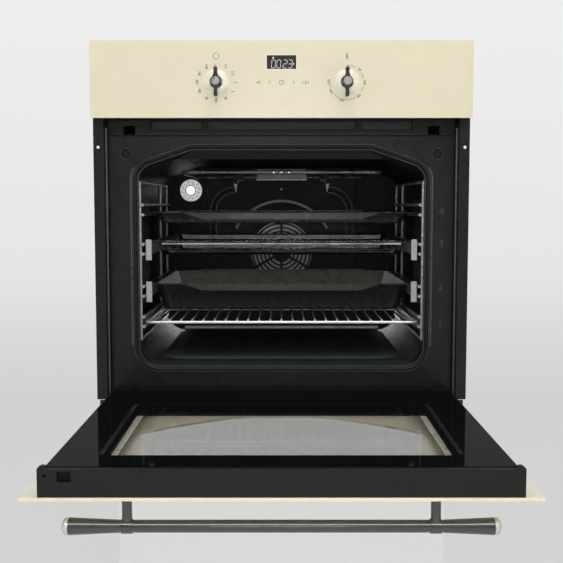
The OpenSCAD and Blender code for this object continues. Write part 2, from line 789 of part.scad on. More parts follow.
// Channel that opens towards the middle of the oven, its web at distance a and its lips at b
module channel(z, a, b, half_h, y0, y1) {
    both() difference() {
        block([rail_out - b, y0, z - half_h], [rail_out - a, y1, z + half_h]);
        block([rail_out - b - cut, y0 - cut, z - half_h + rail_t],
            [rail_out - a - rail_t, y1 + cut, z + half_h - rail_t]);
    }
}
module fixed_rails(z) {
    channel(z, 0, rail_w, rail_half_h, slide_front + 4, slide_end);
}
module middle_rails(z) {
    inset = rail_t + slide_gap;
    channel(z, inset, rail_w + 1.2, rail_half_h - inset, slide_front + 4, slide_end);
}
module slide_rails(z) {
    inset = 2 * (rail_t + slide_gap);
    both() {
        block([slide_in, slide_front + 1, z - rail_half_h + inset],
            [rail_out - inset, slide_end, z + rail_half_h - inset]);
        block([slide_in, slide_front + 1, z + rail_half_h - inset - rail_t],
            [slide_in + rail_t, slide_end, z + rail_half_h]);
        block([slide_in, slide_front - 1, z - 18.5], [rail_out - seat, slide_front + 1, z + 15.5]);
        block([slide_in, tray_back + 2, z], [slide_in + rail_t, slide_end, z + 15]);
    }
}
module lower_rails() { color("#a9abad") fixed_rails(lower_z); }
module upper_rails() { color("#a9abad") fixed_rails(upper_z); }
module lower_middles() { color("#9b9d9f") middle_rails(lower_z); }
module upper_middles() { color("#9b9d9f") middle_rails(upper_z); }
module lower_slides() { color("#c2c4c5") slide_rails(lower_z); }
module upper_slides() { color("#c2c4c5") slide_rails(upper_z); }

// Tray with a flange at height rim, sloping walls of depth d and a wall of thickness t
module tray(rim, d, t, flange_half, wall_half, slope, corner) {
    c = [0, (tray_front + tray_back) / 2];
    l = (tray_back - tray_front) / 2;
    lip = 12;
    top_out = round_box(c, wall_half, l - lip, corner);
    low_out = round_box(c, wall_half - slope, l - lip - slope, corner - slope / 2);
    top_in = round_box(c, wall_half - t, l - lip - t, corner - t);
    low_in = round_box(c, wall_half - slope - t, l - lip - slope - t, corner - slope / 2 - t);
    difference() {
        union() {
            translate([0, 0, rim]) linear_extrude(t) polygon(round_box(c, flange_half, l, 9));
            loft_z(low_out, rim + t - d, top_out, rim + t);
        }
        loft_z(low_in, rim + 2 * t - d, top_in, rim + t + 0.01);
    }
}
module apron(rim, t) {
    half = 0.72 * shelf_half;
    lean = 33;
    along_y(tray_front + t, tray_front + 2 * t)
        polygon([[lean - half, rim - apron_h], [half - lean, rim - apron_h],
            [half, rim + t], [-half, rim + t]]);
}
module shallow_tray() {
    rim = levels[3] + wire_r + seat;
    color("#26292b") {
        tray(rim, tray_d, 1.2, shelf_half, shelf_half - 17, 7, 20);
        apron(rim, 1.2);
    }
}
module deep_pan() {
    rim = lower_z + rail_half_h + seat;
    color("#222526") {
        tray(rim, pan_d, 1.4, slide_in + 9, slide_in - seat - 0.7, 12, 24);
        apron(rim, 1.4);
    }
}
module glass_tray() {
    rim = upper_z + rail_half_h + seat;
    color("#cfd8da")
        tray(rim, glass_tray_d, 4, slide_in + 9, slide_in - seat - 0.7, 8, 24);
}

module wire_shelf() {
    z = levels[0] + 2 * wire_r + seat;
    rail_x = shelf_half - wire_r;
    front = tray_front + 2;
    rear = tray_back;
    turn_r = 12;
    cross_r = 1.5;
    top = z + wire_r + cross_r - 0.6;
    color("#d0d2d3") {
        both() {
            rod_y(front + turn_r, rear - turn_r, rail_x, z, wire_r);
            bend(rail_x - turn_r, front + turn_r, z, turn_r, 270, 90, wire_r);
            bend(rail_x - turn_r, rear - turn_r, z, turn_r, 0, 90, wire_r);
            for (y = [front + 60, front + 200]) rod_x(rail_x - 13, rail_x, y, z, cross_r);
            rod_y(front + 50, front + 210, rail_x - 13, z, wire_r);
        }
        for (y = [front, rear]) rod_x(turn_r - rail_x, rail_x - turn_r, y, z, wire_r);
        rod_x(-rail_x, rail_x, (front + rear) / 2 + 20, z, cross_r + 0.5);
        for (k = [0 : shelf_wires - 1])
            rod_y(front - 1, rear + 1, (k - (shelf_wires - 1) / 2) * wire_pitch, top, cross_r);
    }
}

module casing_sides() {
    color("#a5a8aa") both() difference() {
        block([casing_half - casing_t, casing_front, base_t], [casing_half, casing_end, casing_h]);
        for (k = [0 : 7])
            block([casing_half - casing_t - cut, casing_end - 60, panel_z + 12 * k],
                [casing_half + cut, casing_end - 20, panel_z + 12 * k + 5]);
    }
}
module casing_top() {
    color("#a5a8aa") slab(casing_half, [panel_proud + seat, casing_h], [casing_end, casing_h + casing_t]);
}
module casing_back() {
    color("#9b9ea0") difference() {
        slab(casing_half - casing_t - seat, [casing_end - casing_t, base_t + seat],
            [casing_end, casing_h - seat]);
        pitch = 60;
        last = floor(casing_half / pitch - 1);
        for (k = [-last : last], z = [fan_z - 100, fan_z, panel_z + 10])
            block([pitch * k - 20, casing_end - casing_t - cut, z],
                [pitch * k + 20, casing_end + cut, z + 6]);
        block([terminal_x - terminal_half - seat, casing_end - casing_t - cut, terminal_low - seat],
            [terminal_x + terminal_half + seat, casing_end + cut, terminal_high + seat]);
    }
}
module base_plate() {
    color("#8d9092") {
        slab(casing_half, [casing_front, 0], [casing_end, base_t]);
        both() block([casing_half - 60, casing_front + 60, base_t],
            [casing_half - 54, casing_end - 30, base_t + 9]);
    }
}

function duct_outline(t) = rounded(
    grown([[-duct_half, casing_front], [duct_half, casing_front], [duct_half, casing_front + 50],
           [rotor_r + 30, rotor_y + rotor_r + 32], [-rotor_r - 30, rotor_y + rotor_r + 32],
           [-duct_half, casing_front + 50]], t),
    [2 + t, 2 + t, 20 + t, 70 + t, 70 + t, 20 + t]);
module blower_housing() {
    t = 1.5;
    color("#b4b6b7") difference() {
        translate([0, 0, duct_z]) linear_extrude(duct_h) polygon(duct_outline(0));
        translate([0, 0, duct_z + t]) linear_extrude(duct_h - 2 * t) polygon(duct_outline(-t));
        slab(duct_half - 3, [0, duct_z + t], [casing_front + 4, duct_z + duct_h - t]);
        rod_z(duct_z + 10, duct_z + duct_h + cut, 0, rotor_y, rotor_r - 16);
    }
}
module blower_rotor() {
    z0 = duct_z + 4;
    high = 22;
    color("#55595c") {
        rod_z(z0, z0 + 1.2, 0, rotor_y, rotor_r);
        rod_z(z0, z0 + 12, 0, rotor_y, 9);
        rod_z(z0, duct_z + duct_h + 24, 0, rotor_y, 3);
        for (k = [0 : rotor_blades - 1])
            translate([0, rotor_y, 0]) rotate([0, 0, 360 / rotor_blades * k])
                translate([rotor_r - 9, 0, 0]) rotate([0, 0, 40])
                    block([-8, -0.5, z0 + 1], [8, 0.5, z0 + high]);
        difference() {
            rod_z(z0 + high - 1, z0 + high, 0, rotor_y, rotor_r);
            rod_z(z0 + high - 2, z0 + high + cut, 0, rotor_y, rotor_r - 15);
        }
    }
}
module blower_motor() {
    z = duct_z + duct_h + seat;
    color("#7d8286") difference() {
        union() {
            rod_z(z + 4, z + 30, 0, rotor_y, 26);
            block([-rotor_r, rotor_y - 9, z + 4], [rotor_r, rotor_y + 9, z + 6]);
            both() block([rotor_r - 8, rotor_y - 9, z], [rotor_r, rotor_y + 9, z + 5]);
        }
        rod_z(z - cut, z + 26, 0, rotor_y, 3 + running);
    }
}

module terminal_box() {
    front = casing_end - 40;
    rear = casing_end + 1;
    wall = 3;
    boss_l = 9;
    z = (terminal_low + terminal_high) / 2;
    color("#ececea") difference() {
        union() {
            block([terminal_x - terminal_half, front, terminal_low],
                [terminal_x + terminal_half, rear, terminal_high]);
            rod_y(rear - 1, rear + boss_l, terminal_x, z, inlet_r + 3.5);
        }
        block([terminal_x - terminal_half + wall, front + wall, terminal_low + wall],
            [terminal_x + terminal_half - wall, rear - wall, terminal_high - wall]);
        rod_y(rear - wall - cut, rear + boss_l + cut, terminal_x, z, inlet_r);
    }
}

module hinge_receivers() {
    color("#8b8e90") both() difference() {
        block([hinge_x - arm_w / 2 - 4, casing_front, hinge_z - arm_half_h - 6],
            [hinge_x + arm_w / 2 + 4, casing_front + 60, hinge_z + arm_half_h + 6]);
        block([hinge_x - arm_w / 2 - seat, casing_front - cut, hinge_z - arm_half_h - seat],
            [hinge_x + arm_w / 2 + seat, casing_front + 60 + cut, hinge_z + arm_half_h + seat]);
    }
}
module hinge_arms() {
    color("#b0b3b5") both() difference() {
        union() {
            rod_x(hinge_x - arm_w / 2, hinge_x + arm_w / 2, hinge_y, hinge_z, arm_half_h);
            block([hinge_x - arm_w / 2, hinge_y, hinge_z - arm_half_h],
                [hinge_x + arm_w / 2, casing_front + 55, hinge_z + arm_half_h]);
        }
        rod_x(hinge_x - arm_w, hinge_x + arm_w, hinge_y, hinge_z, hinge_pin_r + running);
    }
}
module hinge_pins() {
    color("#c4c7c9") opened() both() {
        rod_x(hinge_x - cheek_out, hinge_x + cheek_out, hinge_y, hinge_z, hinge_pin_r);
        for (x = [hinge_x - cheek_out - 1.2, hinge_x + cheek_out])
            rod_x(x, x + 1.2, hinge_y, hinge_z, hinge_pin_r + 1.5);
    }
}
module hinge_cartridges() {
    gap = arm_w / 2 + 0.5;
    color("#9fa2a4") opened() both() difference() {
        along_x(hinge_x - cheek_out, hinge_x + cheek_out) union() {
            translate([hinge_y, hinge_z]) circle(r = 6.8);
            polygon([[hinge_y - 5.5, hinge_z], [hinge_y + 6.8, hinge_z], [inner_pane_y - 4, hinge_zone + 4],
                [inner_pane_y - 4, cartridge_h], [hinge_y - 5.5, cartridge_h]]);
        }
        block([hinge_x - gap, 0, 0], [hinge_x + gap, inner_pane_y + cut, hinge_zone + 16]);
        block([hinge_x - gap, 0, hinge_zone + 15], [hinge_x + gap, inner_pane_y - 6, cartridge_h - 3]);
        rod_x(hinge_x - 2 * cheek_out, hinge_x + 2 * cheek_out, hinge_y, hinge_z, hinge_pin_r + running);
    }
}

module door_outer_glass() {
    color("#ebe4c8") opened() difference() {
        slab(front_half, [0, glass_low], [front_glass_t, glass_high]);
        both() rod_y(-cut, front_glass_t + cut, post_x, bar_z, screw_shank_r + 0.5);
    }
}
module door_middle_glass() {
    color("#9aa6a6") opened()
        slab(window_half + pane_lap, [middle_y, window_low - pane_lap], [middle_y + pane_t, window_high + 5]);
}
module door_inner_glass() {
    color("#1b1d1e") opened()
        slab(inner_half, [inner_pane_y, hinge_zone], [door_t, frame_high]);
}
module door_frame() {
    y0 = front_glass_t + seat;
    y1 = inner_pane_y - seat;
    heel = [for (k = [0 : arc_steps]) let (a = 90 * k / arc_steps)
        [door_t - heel_r + heel_r * sin(a), body_low + heel_r - heel_r * cos(a)]];
    section = concat([[y0, body_low]], heel,
        [[door_t, hinge_zone - seat], [y1, hinge_zone - seat], [y1, frame_high], [y0, frame_high]]);
    color("#1d1e1e") opened() difference() {
        along_x(-door_half, door_half) polygon(section);
        slab(window_half, [0, window_low], [door_t + cut, window_high]);
        slab(window_half + pane_lap + seat, [middle_y - seat, window_low - pane_lap - seat],
            [middle_y + pane_t + seat, window_high + 5 + seat]);
        both() {
            block([hinge_x - hinge_slot - 1.5, 0, 0], [hinge_x + hinge_slot + 1.5, door_t + cut, hinge_zone]);
            block([hinge_x - hinge_slot, 0, hinge_zone - cut],
                [hinge_x + hinge_slot, door_t, cartridge_h + seat]);
            rod_y(0, door_t, post_x, bar_z, screw_shank_r + 0.5);
            rod_y(y0 + 6, door_t, post_x, bar_z, 5.5);
            translate([0, 0, body_low - cut]) linear_extrude(frame_high - body_low + 2 * cut)
                polygon([[door_half + cut, door_t - 9.5], [door_half + cut, door_t + cut],
                    [inner_half, door_t + cut], [inner_half, door_t]]);
        }
    }
}
module door_top_trim() {
    y0 = front_glass_t + seat;
    color("#202122") opened() difference() {
        union() {
            slab(door_half, [y0, body_high - top_trim_t], [door_t - 1, body_high]);
            both() rod_z(body_high - top_trim_t, body_high, door_half - lug_r, door_t + 2.8 - lug_r, lug_r);
        }
        block([22.5 - door_half, door_t - 16, body_high - top_trim_t - cut],
            [38.5 - door_half, door_t - 4.5, body_high + cut]);
        rod_z(body_high - 4, body_high + cut, 8.5 - door_half, door_t - 9, 2);
    }
}
module handle_bar() {
    color("#5b5855") opened() union() {
        rod_x(-post_x - 8, post_x + 8, -bar_stand, bar_z, bar_r);
        both() translate([post_x + 7, -bar_stand, bar_z]) rotate([0, 90, 0])
            cylinder(r1 = bar_r, r2 = cone_r, h = cone_l);
    }
}
module handle_posts() {
    color("#4d4a48") opened() both() difference() {
        union() {
            rod_y(-bar_stand, -seat, post_x, bar_z, post_r);
            rod_y(-washer_t - seat, -seat, post_x, bar_z, post_r + 2.2);
            rod_x(post_x - 7, post_x + 6.5, -bar_stand, bar_z, bar_r + 1.25);
        }
        rod_x(post_x - 12, post_x + 12, -bar_stand, bar_z, bar_r + running);
        rod_y(-12, cut, post_x, bar_z, screw_shank_r + running);
    }
}
module handle_end_caps() {
    x0 = post_x + 7 + cone_l;
    cap_h = 8.5;
    dome_h = 5.5;
    dome_r = (cone_r * cone_r + dome_h * dome_h) / (2 * dome_h);
    color("#dcd8c6") opened() both() translate([x0 + 0.1, -bar_stand, bar_z]) rotate([0, 90, 0])
        intersection() {
            cylinder(r = cone_r, h = cap_h);
            translate([0, 0, cap_h - dome_r]) sphere(r = dome_r);
        }
}
module handle_screws() {
    y0 = front_glass_t + seat;
    color("#b5b7b8") opened() both() {
        rod_y(-11.5, y0 + 7, post_x, bar_z, screw_shank_r);
        rod_y(y0 + 6 + seat, y0 + 9, post_x, bar_z, 4.5);
    }
}

place() panel_glass();
place() panel_carrier();
place() display_window();
place() control_board();
place() function_switch();
place() temperature_switch();
place() front_frame();
place() vent_trim();
place() frame_buffers();
place() mouth_gasket();
place() cavity_liner();
place() cavity_back();
place() insulation();
place() fan_cover();
place() fan_motor();
place() ring_heater();
place() grill_heater();
place() bottom_heater();
place() lamp_housing();
place() lamp_bulb();
place() lamp_lens();
place() side_racks();
place() lower_rails();
place() upper_rails();
place() casing_sides();
place() casing_top();
place() casing_back();
place() base_plate();
place() blower_housing();
place() blower_motor();
place() terminal_box();
place() hinge_receivers();
place() hinge_arms();
place() door_outer_glass();
place() door_middle_glass();
place() door_inner_glass();
place() door_frame();
place() door_top_trim();
place() hinge_cartridges();
place() hinge_pins();
place() handle_bar();
place() handle_posts();
place() handle_end_caps();
place() handle_screws();
place() fan_wheel();
place() blower_rotor();
place() shallow_tray();
place() glass_tray();
place() deep_pan();
place() wire_shelf();
place() lower_middles();
place() upper_middles();
place() lower_slides();
place() upper_slides();
place() function_skirt();
place() function_grip();
place() function_shaft();
place() temperature_skirt();
place() temperature_grip();
place() temperature_shaft();
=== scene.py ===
"""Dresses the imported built-in oven, seen from in front and a little above with its door let down.

Sizes are millimetres in the oven's own directions: X to the right, Y into the oven from the face of the
control panel and Z up from its base. Workshop.at turns them into the frame's metres.
"""

import json
import logging
import math
from dataclasses import dataclass
from enum import Enum
from itertools import product
from typing import Callable, Optional, Sequence

import bmesh
import bpy
from mathutils import Euler, Matrix, Vector
from mathutils.geometry import tessellate_polygon

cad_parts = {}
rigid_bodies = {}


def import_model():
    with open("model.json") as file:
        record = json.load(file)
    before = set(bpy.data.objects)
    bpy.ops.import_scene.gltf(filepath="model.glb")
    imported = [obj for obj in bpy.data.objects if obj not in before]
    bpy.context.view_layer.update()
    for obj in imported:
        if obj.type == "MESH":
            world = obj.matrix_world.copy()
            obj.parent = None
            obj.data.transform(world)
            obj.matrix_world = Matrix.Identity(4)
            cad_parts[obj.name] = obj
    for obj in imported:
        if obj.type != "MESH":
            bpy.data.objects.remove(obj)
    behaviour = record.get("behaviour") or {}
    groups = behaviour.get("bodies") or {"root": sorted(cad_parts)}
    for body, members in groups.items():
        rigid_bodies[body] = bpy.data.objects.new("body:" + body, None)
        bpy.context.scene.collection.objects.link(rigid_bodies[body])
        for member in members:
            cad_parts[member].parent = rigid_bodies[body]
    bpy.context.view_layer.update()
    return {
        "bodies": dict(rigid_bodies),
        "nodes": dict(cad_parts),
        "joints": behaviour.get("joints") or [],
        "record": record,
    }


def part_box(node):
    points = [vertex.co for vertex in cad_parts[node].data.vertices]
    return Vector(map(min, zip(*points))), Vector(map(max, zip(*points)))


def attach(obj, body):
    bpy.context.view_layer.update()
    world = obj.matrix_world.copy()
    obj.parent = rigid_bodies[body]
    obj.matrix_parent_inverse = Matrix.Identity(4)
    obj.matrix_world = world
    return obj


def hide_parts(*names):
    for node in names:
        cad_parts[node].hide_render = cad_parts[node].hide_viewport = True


LOG = logging.getLogger("oven")
MM = 0.001

Point = tuple[float, float]
Colour = tuple[float, float, float]
Outline = Sequence[Point]
Place = Callable[[float, float, float], Vector]
Piece = bpy.types.Object
Tree = bpy.types.NodeTree
Socket = bpy.types.NodeSocket
INTO = Vector((0.0, 1.0, 0.0))
UP = Vector((0.0, 0.0, 1.0))


class Slot(Enum):
    """Material slots of the part's record."""

    IVORY_GLASS = "ivory_glass"
    CLEAR_GLASS = "clear_glass"
    BLACK_GLASS = "black_glass"
    BLACK_ENAMEL = "black_enamel"
    CAVITY_ENAMEL = "cavity_enamel"
    BLACK_PLASTIC = "black_plastic"
    SEAL = "seal"
    CHROME_WIRE = "chrome_wire"
    ZINC_STEEL = "zinc_steel"
    HANDLE_METAL = "handle_metal"
    CAP_METAL = "cap_metal"
    IVORY_PLASTIC = "ivory_plastic"
    HEATER_TUBE = "heater_tube"
    WOOL = "wool"
    MOTOR_STEEL = "motor_steel"
    WHITE_PLASTIC = "white_plastic"
    BOARD = "board"


class Grain(Enum):
    """How the fine texture of a finish is laid."""

    NOISE = "noise"
    CELLS = "cells"
    BRUSHED = "brushed"
    WEAVE = "weave"
    PEEL = "peel"


class Wiring:
    """Adds nodes to a tree and links them."""

    def __init__(self, tree: Tree) -> None:
        """Keeps the tree."""
        self.tree = tree

    def add(self, kind: str, values: Optional[dict[object, object]] = None,
            **traits: object) -> bpy.types.Node:
        """Adds a node.

        Args:
            kind: Its type.
            values: Constants of its inputs.
            traits: Settings of the node itself.

        Returns:
            The node.
        """
        node = self.tree.nodes.new(kind)
        for trait, value in traits.items():
            setattr(node, trait, value)
        for socket, value in (values or {}).items():
            node.inputs[socket].default_value = value
        return node

    def link(self, *pairs: tuple[Socket, Socket]) -> None:
        """Links pairs of an output and an input."""
        for source, target in pairs:
            self.tree.links.new(source, target)

    def ranged(self, value: Socket, span: Point, result: Point = (0.0, 1.0)) -> Socket:
        """Maps a value from one span to another.

        Args:
            value: The value.
            span: Ends of its own span.
            result: Ends of the span that it is mapped to.

        Returns:
            The socket that carries the result.
        """
        node = self.add("ShaderNodeMapRange", {"From Min": span[0], "From Max": span[1], "To Min": result[0],
                                               "To Max": result[1]})
        self.link((value, node.inputs["Value"]))
        return node.outputs["Result"]


@dataclass(frozen=True)
class Finish:
    """A surface finish: its colour, gloss and grain.

    Colours are linear, scales are waves per metre and depth is the height of the grain in millimetres.
    """

    name: str
    slot: Slot
    colour: Colour
    rough: float = 0.4
    metal: float = 0.0
    coat: float = 0.0
    mottle: float = 0.06
    mottle_scale: float = 35.0
    rough_spread: float = 0.06
    grain: Grain = Grain.PEEL
    grain_scale: float = 700.0
    depth: float = 0.02
    specks: Optional[Colour] = None
    speck_share: float = 0.1
    speck_scale: float = 900.0
    clear: float = 0.0
    alpha: float = 1.0
    glow: float = 0.0
    specular: float = 0.5

    def material(self) -> bpy.types.Material:
        """Builds the material once and returns it afterwards.

        Returns:
            The material.
        """
        made = bpy.data.materials.get(self.name)
        if made:
            return made
        mat = bpy.data.materials.new(self.name)
        mat.use_nodes = True
        Surface(mat.node_tree, self).build()
        return mat


class Surface(Wiring):
    """Nodes of one finish's material, all of them on Object coordinates."""

    def __init__(self, tree: Tree, finish: Finish) -> None:
        """Clears the tree and adds the coordinates.

        Args:
            tree: The material's tree.
            finish: The finish.
        """
        super().__init__(tree)
        tree.nodes.clear()
        self.finish = finish
        self.coords = self.add("ShaderNodeTexCoord").outputs["Object"]

    def build(self) -> None:
        """Links the colour, gloss and grain to the shader."""
        finish = self.finish
        out = self.add("ShaderNodeOutputMaterial")
        shader = self.add("ShaderNodeBsdfPrincipled", {
            "Metallic": finish.metal, "Coat Weight": finish.coat, "Coat Roughness": 0.04,
            "Specular IOR Level": finish.specular, "Transmission Weight": finish.clear,
            "Alpha": finish.alpha})
        self.link((shader.outputs["BSDF"], out.inputs["Surface"]),
                  (self._tinted(), shader.inputs["Base Color"]),
                  (self._gloss(), shader.inputs["Roughness"]))
        if finish.depth:
            self.link((self._bumped(), shader.inputs["Normal"]))
        if finish.glow:
            shader.inputs["Emission Color"].default_value = (*finish.colour, 1.0)
            shader.inputs["Emission Strength"].default_value = finish.glow

    def _noise(self, scale: float, detail: float = 4.0, stretch: Sequence[float] = (1.0, 1.0, 1.0)) -> Socket:
        """Adds a noise texture.

        Args:
            scale: Waves per metre.
            detail: Octaves.
            stretch: Factor of the scale along each axis.

        Returns:
            The socket that carries the noise.
        """
        place = self.add("ShaderNodeMapping", {"Scale": stretch})
        noise = self.add("ShaderNodeTexNoise", {"Scale": scale, "Detail": detail})
        self.link((self.coords, place.inputs["Vector"]), (place.outputs["Vector"], noise.inputs["Vector"]))
        return noise.outputs["Fac"]

    def _cells(self, scale: float) -> Socket:
        """Adds a cell texture and gives the distance from the cells' middles.

        Args:
            scale: Cells to the metre.

        Returns:
            The socket that carries the distance.
        """
        cells = self.add("ShaderNodeTexVoronoi", {"Scale": scale})
        self.link((self.coords, cells.inputs["Vector"]))
        return cells.outputs["Distance"]

    def _tinted(self) -> Socket:
        """Gives the colour its slight variation and its specks.

        Returns:
            The socket with the colour.
        """
        finish = self.finish
        ramp = self.add("ShaderNodeValToRGB")
        low, high = ramp.color_ramp.elements
        low.position, high.position = 0.3, 0.7
        low.color = (*(c * (1 - finish.mottle) for c in finish.colour), 1.0)
        high.color = (*(min(1.0, c * (1 + finish.mottle)) for c in finish.colour), 1.0)
        self.link((self._noise(finish.mottle_scale), ramp.inputs["Fac"]))
        if finish.specks is None:
            return ramp.outputs["Color"]
        share = finish.speck_share
        mask = self.ranged(self._cells(finish.speck_scale), (share, share + 0.08), (1.0, 0.0))
        mix = self.add("ShaderNodeMix", data_type="RGBA")
        plain, speck = (s for s in mix.inputs if s.type == "RGBA")
        speck.default_value = (*finish.specks, 1.0)
        self.link((ramp.outputs["Color"], plain), (mask, mix.inputs["Factor"]))
        return next(s for s in mix.outputs if s.type == "RGBA")

    def _gloss(self) -> Socket:
        """Varies the roughness a little, as handling and firing do.

        Returns:
            The socket with the roughness.
        """
        rough, spread = self.finish.rough, self.finish.rough_spread
        noise = self._noise(self.finish.mottle_scale * 2.3, 3.0)
        return self.ranged(noise, (0.3, 0.7), (max(0.0, rough - spread), min(1.0, rough + spread)))

    def _bumped(self) -> Socket:
        """Raises the grain.

        Returns:
            The socket with the normal.
        """
        kind, scale = self.finish.grain, self.finish.grain_scale
        if kind is Grain.CELLS:
            height = self._cells(scale)
        elif kind is Grain.WEAVE:
            wave = self.add("ShaderNodeTexWave", {"Scale": scale, "Distortion": 1.5}, wave_type="BANDS",
                            bands_direction="DIAGONAL")
            self.link((self.coords, wave.inputs["Vector"]))
            height = wave.outputs["Fac"]
        elif kind is Grain.BRUSHED:
            height = self._noise(scale, 3.0, (0.04, 1.0, 1.0))
        else:
            height = self._noise(scale, 1.0 if kind is Grain.PEEL else 4.0)
        bump = self.add("ShaderNodeBump", {"Strength": 1.0, "Distance": self.finish.depth * MM})
        self.link((height, bump.inputs["Height"]))
        return bump.outputs["Normal"]


IVORY_GLASS = Finish("ivory_print_glass", Slot.IVORY_GLASS, (0.80, 0.735, 0.54), rough=0.16, coat=1.0,
    mottle=0.015, rough_spread=0.02, grain_scale=60, depth=0.002)
CLEAR_GLASS = Finish("clear_pane_glass", Slot.CLEAR_GLASS, (0.020, 0.021, 0.022), rough=0.02, coat=1.0,
    alpha=0.12, specular=1.0, mottle=0.01, rough_spread=0.005, depth=0.0)
DISH_GLASS = Finish("tray_glass", Slot.CLEAR_GLASS, (0.90, 0.93, 0.92), rough=0.04, clear=1.0, mottle=0.02,
    rough_spread=0.03, grain_scale=60, depth=0.1)
# Painted highlight: the glass dish's front bead is pale grey for the light band along its rim.
DISH_FRONT_HIGHLIGHT = Finish("glass_dish_front_painted_highlight", Slot.CLEAR_GLASS, (0.46, 0.465, 0.465), rough=0.34, alpha=0.85,
    mottle=0.5, mottle_scale=45, rough_spread=0.08, grain_scale=60, depth=0.2)
# Painted highlight: the rear beads are pale and glow faintly for the light bands on the dish's rear wall.
DISH_RIM_HIGHLIGHT = Finish("glass_dish_rim_painted_highlight", Slot.CLEAR_GLASS, (0.75, 0.76, 0.76), rough=0.16, coat=1.0, alpha=0.8,
    glow=0.06, mottle=0.5, mottle_scale=45, rough_spread=0.08, grain_scale=60, depth=0.2)
BLACK_GLASS = Finish("black_print_glass", Slot.BLACK_GLASS, (0.0045, 0.005, 0.005), rough=0.1, coat=0.13,
    specular=0.0, mottle=0.1, rough_spread=0.02, grain_scale=60, depth=0.002)
FRONT_ENAMEL = Finish("front_black_enamel", Slot.BLACK_ENAMEL, (0.0085, 0.0084, 0.0080), rough=0.32,
    specular=0.35, mottle=0.12, grain_scale=420, depth=0.03)
DOOR_ENAMEL = Finish("door_frame_enamel", Slot.BLACK_ENAMEL, (0.0095, 0.0091, 0.0085), rough=0.45,
    specular=0.05, mottle=0.12, grain_scale=420, depth=0.03)
CAVITY_ENAMEL = Finish("cavity_dark_enamel", Slot.CAVITY_ENAMEL, (0.0085, 0.0102, 0.0100), rough=0.42,
    specular=0.14, mottle=0.15, grain_scale=350, specks=(0.03, 0.036, 0.036), speck_scale=800)
# Painted light: a lighter copy of the cavity enamel for the floor, which gets little light.
FLOOR_PAINTED_LIGHT = Finish("cavity_floor_painted_light", Slot.CAVITY_ENAMEL, (0.040, 0.049, 0.048), rough=0.75,
    specular=0.04, mottle=0.2, grain_scale=300, depth=0.03)
# Painted highlight: pale grey for the light line along the cavity's rear corner.
SEAM_PAINTED_HIGHLIGHT = Finish("cavity_seam_painted_highlight", Slot.CAVITY_ENAMEL, (0.28, 0.284, 0.28), rough=0.25, coat=0.3,
    mottle=0.3, grain_scale=250, depth=0.03)
# Painted highlight: pale grey edges along the fan cover's channels and on the grill bracket's lip and tabs.
PALE_EDGE_HIGHLIGHT = Finish("pale_edge_painted_highlight", Slot.CAVITY_ENAMEL, (0.20, 0.20, 0.195), rough=0.3, metal=0.2,
    mottle=0.25, grain=Grain.NOISE, grain_scale=900)
BRACKET_STEEL = Finish("grill_bracket_steel", Slot.ZINC_STEEL, (0.045, 0.046, 0.045), rough=0.35, metal=0.3,
    mottle=0.2, grain=Grain.BRUSHED, grain_scale=1200, depth=0.01)
HINGE_STEEL = Finish("hinge_yellow_zinc", Slot.ZINC_STEEL, (0.44, 0.41, 0.30), rough=0.6, metal=0.1,
    specular=0.1, mottle=0.1, grain=Grain.NOISE, grain_scale=900)
# Painted light: a much lighter copy of the tray enamel for the inside of the well.
WELL_PAINTED_LIGHT = Finish("tray_well_painted_light", Slot.CAVITY_ENAMEL, (0.160, 0.157, 0.140), rough=0.3, coat=0.2,
    mottle=0.12, grain_scale=380, depth=0.03, specks=(0.09, 0.09, 0.085), speck_share=0.07)
# Painted light: the well's side walls are lighter still and glow, as if lit from the side.
WELL_SIDE_PAINTED_GLOW = Finish("tray_side_painted_glow", Slot.CAVITY_ENAMEL, (0.20, 0.20, 0.19), rough=0.3, coat=0.2, glow=0.3,
    mottle=0.3, grain_scale=380, depth=0.03)
# Painted highlight: pale grey for the light line along the tray's rolled rear edge.
TRAY_ROLL_HIGHLIGHT = Finish("tray_roll_painted_highlight", Slot.CAVITY_ENAMEL, (0.26, 0.26, 0.25), rough=0.25, metal=0.2,
    mottle=0.4, mottle_scale=90, grain=Grain.NOISE)
# Painted light: the floor's rear bead is pale and glows for the light line at the foot of the back wall.
REAR_BAND_PAINTED_GLOW = Finish("floor_rear_painted_glow", Slot.CAVITY_ENAMEL, (0.30, 0.30, 0.295), rough=0.3, glow=0.12,
    mottle=0.3, grain_scale=250)
# Painted highlight: pale grey for the light on the top of the fan cover's pressed ring.
RING_PAINTED_HIGHLIGHT = Finish("fan_cover_ring", Slot.CAVITY_ENAMEL, (0.30, 0.303, 0.30), rough=0.25, coat=0.2,
    mottle=0.2, grain_scale=300)
WALL_SHEET = Finish("cavity_wall_sheet", Slot.CAVITY_ENAMEL, (0.040, 0.040, 0.038), rough=0.35, specular=0.3,
    mottle=0.2, grain_scale=300, depth=0.03)
TRAY_ENAMEL = Finish("tray_dark_enamel", Slot.CAVITY_ENAMEL, (0.013, 0.013, 0.0125), rough=0.28, coat=0.2,
    mottle=0.12, grain_scale=380, depth=0.03, specks=(0.06, 0.062, 0.06), speck_share=0.07)
